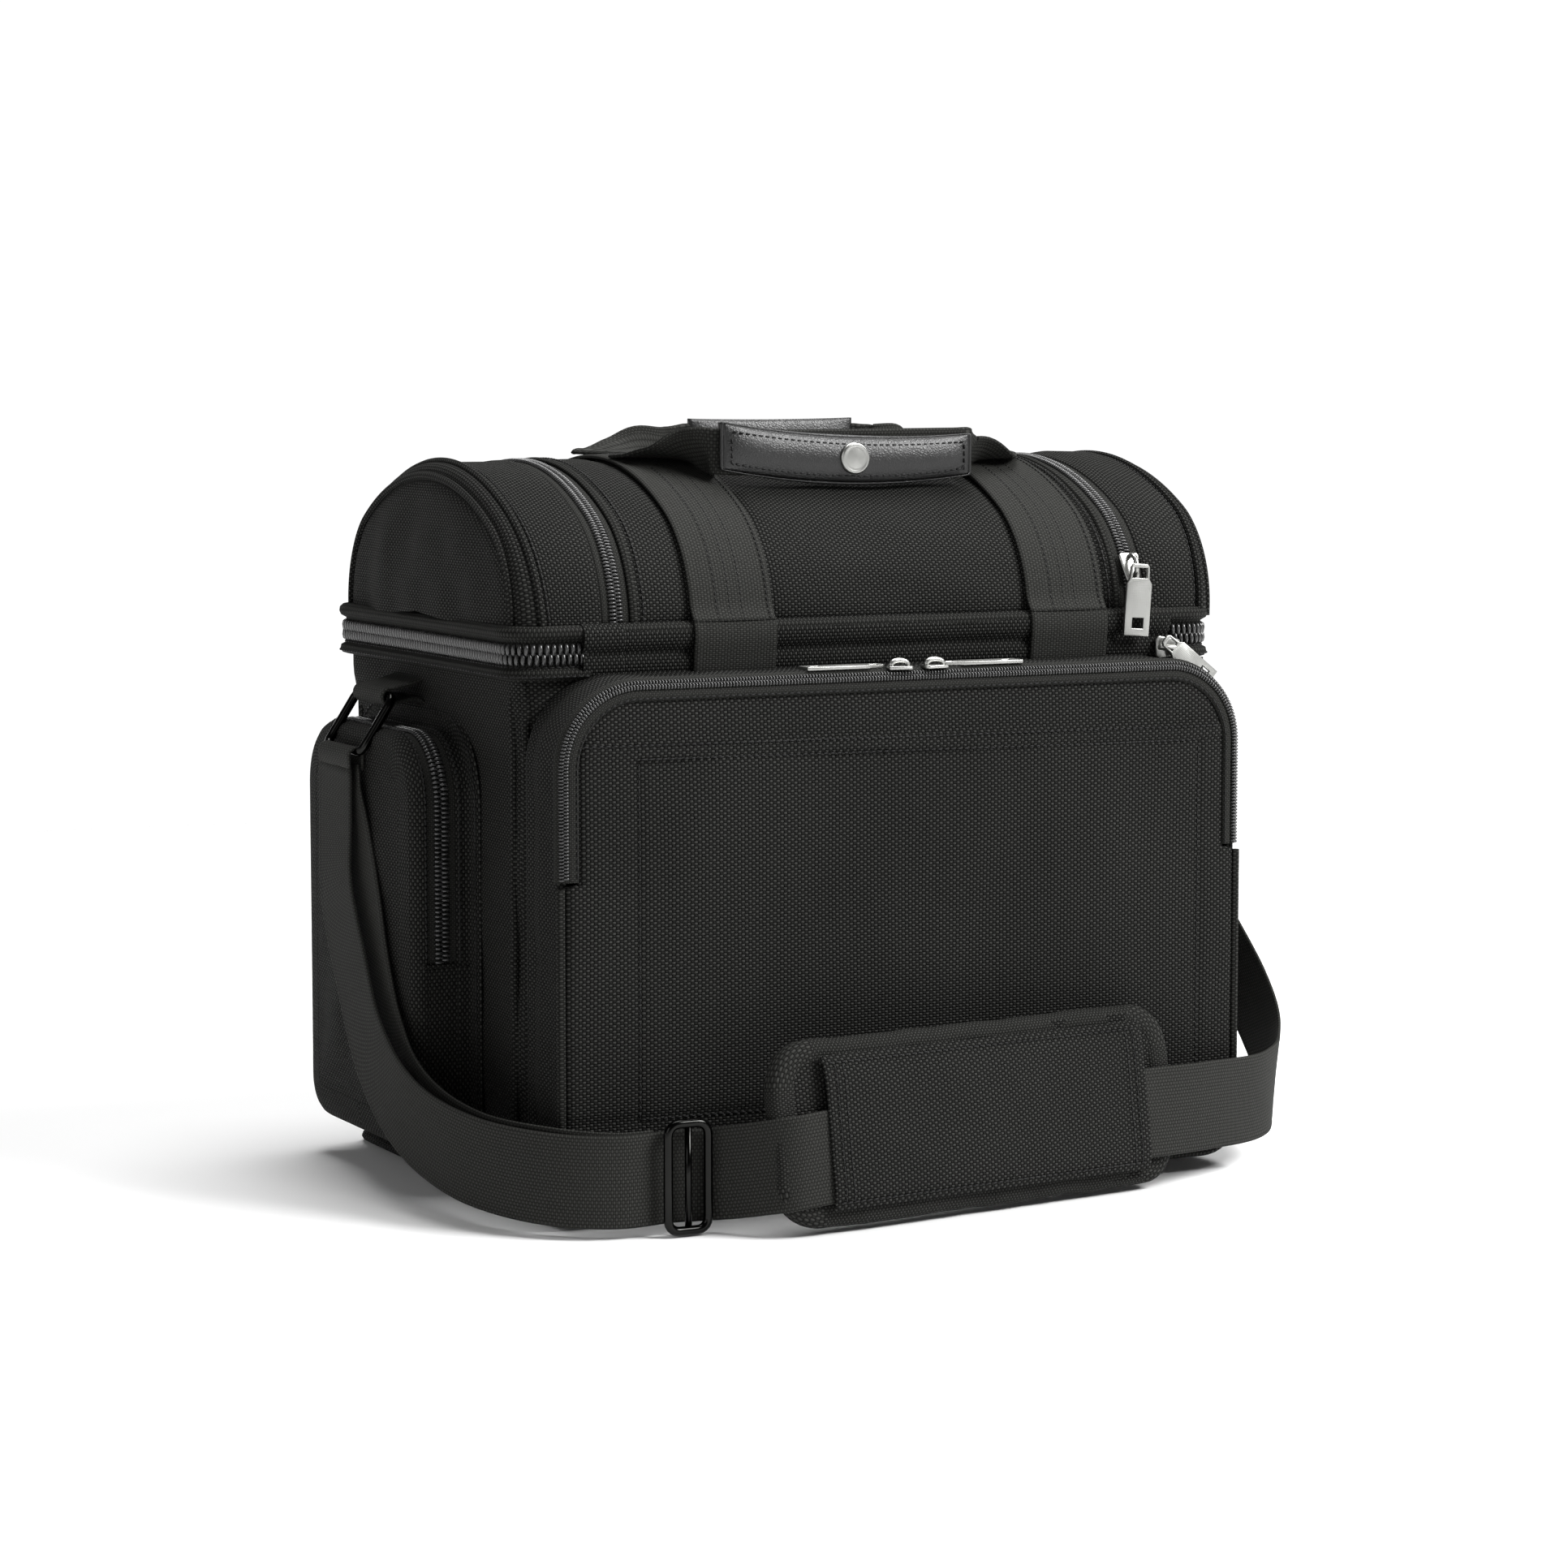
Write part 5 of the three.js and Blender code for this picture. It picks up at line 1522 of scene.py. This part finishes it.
# ---------- zip sliders and pulls ----------
def bevelled_plate(outline, holes, thickness, bevel=0.35):
    """A flat plate with rounded edges and windows, in the (x, z) plane, facing -y."""
    mesh = bpy.data.meshes.new("plate")
    bm = bmesh.new()
    loops = []
    for loop in [outline, *holes]:
        verts = [bm.verts.new((x, 0, z)) for x, z in loop]
        loops.append([bm.edges.new((verts[i], verts[(i + 1) % len(verts)])) for i in range(len(verts))])
    edges = [edge for loop in loops for edge in loop]
    bmesh.ops.triangle_fill(bm, edges=edges, use_beauty=True, use_dissolve=False)
    bmesh.ops.recalc_face_normals(bm, faces=bm.faces)
    bm.to_mesh(mesh)
    bm.free()
    item = bpy.data.objects.new("plate", mesh)
    bpy.context.scene.collection.objects.link(item)
    solid = item.modifiers.new("solid", "SOLIDIFY")
    solid.thickness = thickness
    solid.offset = 0
    soft = item.modifiers.new("soft", "BEVEL")
    soft.width = bevel
    soft.segments = 2
    soft.limit_method = "ANGLE"
    soft.angle_limit = math.radians(50)
    graph = bpy.context.evaluated_depsgraph_get()
    result = bpy.data.meshes.new_from_object(item.evaluated_get(graph))
    points = np.array([v.co[:] for v in result.vertices])
    faces = [tuple(f.vertices) for f in result.polygons]
    bpy.data.objects.remove(item)
    uv = [(points[i][0], points[i][2]) for face in faces for i in face]
    return Geometry().extend(points, faces, uv)


def pull_plate(length, width, thickness=1.7):
    """A zip pull hanging down from z = 0: a narrow eye, shoulders and a plate with a window."""
    half = width / 2
    shoulder = [(half, -9.5), (half - 1.5, -7.2), (half - 1.7, -1.6), (half - 3, 0)]
    outline = [(-half, -length), (half, -length), *shoulder, *[(-x, z) for x, z in reversed(shoulder)]]
    left, right, low, high = -half * 0.42, half * 0.5, -length + 3.6, -length + 8.6
    window = [(left, low), (right, low), (right, high), (left, high)]
    eye = [(-half + 2.6, -6.8), (half - 2.6, -6.8), (half - 2.7, -1.9), (-half + 2.7, -1.9)]
    return bevelled_plate(outline, [window, eye], thickness)


def slider_body(width, length, height):
    """A slider: a tapered shield with a raised bridge, long way along z, its face towards -y."""
    half, tall = width / 2, length / 2
    shield = [(-half, tall - 1.5), (-half + 1.5, tall), (half - 1.5, tall), (half, tall - 1.5)]
    shield += [(half * 0.8, -tall * 0.2), (half * 0.62, -tall)]
    shield += [(-half * 0.62, -tall), (-half * 0.8, -tall * 0.2)]
    plate = bevelled_plate(shield, [], 1.6, 0.5)
    plate.points = [np.concatenate(plate.points) + np.array([0, -1.2, 0])]
    turn = np.radians(np.linspace(0, 180, 13))
    rise = height - 1.8
    bridge = np.array([(0, -1.8 - rise * math.sin(t) ** 0.7, tall * 0.72 * math.cos(t)) for t in turn])
    side = constant((1, 0, 0), len(bridge))
    ahead = unit(np.gradient(bridge, axis=0))
    plate.add(tube(bridge, side, np.cross(ahead, side), 1.25, 10))
    return plate


def turned(points, degrees):
    """Points turned about X, then Y, then Z."""
    points = np.asarray(points, float)
    for axis, angle in zip((0, 1, 2), np.radians(degrees)):
        c, s = math.cos(angle), math.sin(angle)
        i, k = [(1, 2), (2, 0), (0, 1)][axis]
        moved = points.copy()
        moved[:, i] = c * points[:, i] - s * points[:, k]
        moved[:, k] = s * points[:, i] + c * points[:, k]
        points = moved
    return points


def place(geometry, at, degrees=(0, 0, 0)):
    geometry.points = [turned(np.concatenate(geometry.points), degrees) + np.asarray(at, float)]
    return geometry


def zip_set(name, slider, slider_at, slider_turn, pull, pull_at, pull_turn):
    """A zip's slider and its pull, each with its sizes, its place and its turns in degrees."""
    body = place(slider_body(*slider), slider_at, slider_turn)
    build(f"{name}_slider_body", body, NICKEL, f"{name}_slider", [f"{name}_slider"])
    plate = place(pull_plate(*pull), pull_at, pull_turn)
    build(f"{name}_pull_plate", plate, PULL_NICKEL, f"{name}_pull", [f"{name}_pull"])


def zip_pulls():
    ridge_y, ridge_z = POCKET_FACE + 2, POCKET_TOP + 0.3
    for hand, sx in SIDES:
        zip_set(
            f"front_{hand}", (8, 12, 4.5), (sx * 9, ridge_y, ridge_z), (-90, 0, sx * 90),
            (40, 10), (sx * 15, ridge_y + 5, ridge_z + 2.0), (-90, 0, sx * 90),
        )
        zip_set(
            f"{hand}_pocket", (8, 12, 5), (sx * (HALF_X + SIDE_ZIP), SIDE_BACK + 0.3, 131), (0, 0, 180),
            (40, 10), (sx * (HALF_X + SIDE_ZIP), SIDE_BACK + 6, 124), (0, 0, 180),
        )
    band = -HALF_Y - 4.8
    zip_set(
        "main", (11, 13, 5), (ZIP_END - 3, band, SPLIT - 5.7), (0, -90, 0),
        (33, 10), (ZIP_END - 7, band - 5, SPLIT - 1.5), (0, -52, 0),
    )
    turn = -turn_at_height(281)
    y, z = arch_point(turn, 1.6)
    zip_set(
        "dome", (11, 14, 7), (ARCH_ZIP_X, y, z), (-(90 + turn), 0, 0),
        (34, 13.5), (ARCH_ZIP_X - 0.5, -HALF_Y - 8.5, 284), (0, 4, 0),
    )


# ---------- what the openings show, floor and light ----------
def finish_frame_nodes():
    """Better materials on the CAD solids that stay as they are: lining, inner floor and board."""
    for name, material in (("liner", LINING), ("dome_floor", LINING), ("base_board", BOARD)):
        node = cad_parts[name]
        node.data.materials.clear()
        node.data.materials.append(material)
        if "cloth" not in node.data.uv_layers:
            layer = node.data.uv_layers.new(name="cloth")
            flat = []
            for face in node.data.polygons:
                drop = int(np.argmax(np.abs(face.normal)))
                keep = [k for k in range(3) if k != drop]
                for index in face.vertices:
                    co = node.data.vertices[index].co
                    flat += [co[keep[0]] * 1000, co[keep[1]] * 1000]
            layer.data.foreach_set("uv", flat)


def area_light(name, at, target, size, power):
    data = bpy.data.lights.new(name, "AREA")
    data.shape = "RECTANGLE"
    data.size, data.size_y = size
    data.energy = power
    light = bpy.data.objects.new(name, data)
    bpy.context.scene.collection.objects.link(light)
    light.location = at
    light.rotation_euler = (Vector(target) - Vector(at)).to_track_quat("-Z", "Y").to_euler()


def studio_walls():
    """A dim room with a bright white band all round it up to eye height."""
    world = bpy.data.worlds.new("studio")
    bpy.context.scene.world = world
    world.use_nodes = True
    tree = world.node_tree
    tree.nodes["Background"].inputs["Color"].default_value = (1, 1, 1, 1)
    direction = tree.nodes.new("ShaderNodeTexCoord").outputs["Generated"]
    split = tree.nodes.new("ShaderNodeSeparateXYZ")
    tree.links.new(direction, split.inputs[0])
    ramp = tree.nodes.new("ShaderNodeMapRange")
    ramp.interpolation_type = "SMOOTHSTEP"
    ramp.inputs["From Min"].default_value = BAND_TOP
    ramp.inputs["From Max"].default_value = SKY_START
    ramp.inputs["To Min"].default_value = BAND_LEVEL
    ramp.inputs["To Max"].default_value = SKY_LEVEL
    tree.links.new(split.outputs["Z"], ramp.inputs["Value"])
    tree.links.new(ramp.outputs[0], tree.nodes["Background"].inputs["Strength"])


def studio():
    """A white paper floor, the walls of light and three lamps."""
    mesh = bpy.data.meshes.new("studio_floor")
    turn = 2 * math.pi * np.arange(96) / 96
    rim = [(FLOOR_REACH * math.cos(t), FLOOR_REACH * math.sin(t), 0) for t in turn]
    mesh.from_pydata(rim, [], [list(range(96))])
    floor = bpy.data.objects.new("studio_floor", mesh)
    bpy.context.scene.collection.objects.link(floor)
    paper = bpy.data.materials.new("studio_paper")
    paper.use_nodes = True
    surface = paper.node_tree.nodes["Principled BSDF"]
    surface.inputs["Base Color"].default_value = grey(0.9)
    surface.inputs["Roughness"].default_value = 0.9
    mesh.materials.append(paper)
    floor.location.z = -0.0004
    studio_walls()
    area_light("key", (1.5, -1.5, 1.9), (0, 0, 0.2), (1.2, 1.2), 120)
    area_light("left_fill", (-2.2, -1.0, 1.2), (0, 0, 0.2), (1.2, 1.2), 9)
    area_light("top", (0.2, 0.3, 2.3), (0, 0, 0.2), (1.4, 1.4), 60)
    bpy.context.scene.view_settings.view_transform = "Standard"


place_camera()
shoulder_strap()
main_body()
main_zip()
hinge_fold()
front_face()
front_gusset()
for hand_name, sign in SIDES:
    side_pocket(hand_name, sign)
    strap_anchor(hand_name, sign)
    dome_side(hand_name, sign)
arch_zip()
dome_back()
lid()
handle("front_handle", FRONT_HANDLE, ("front_handle_webbing", "front_handle_sleeve"), "front_handle")
handle("rear_handle", REAR_HANDLE, ("rear_handle_webbing", "rear_handle_sleeve"), "rear_handle")
wrap()
zip_pulls()
finish_frame_nodes()
studio()
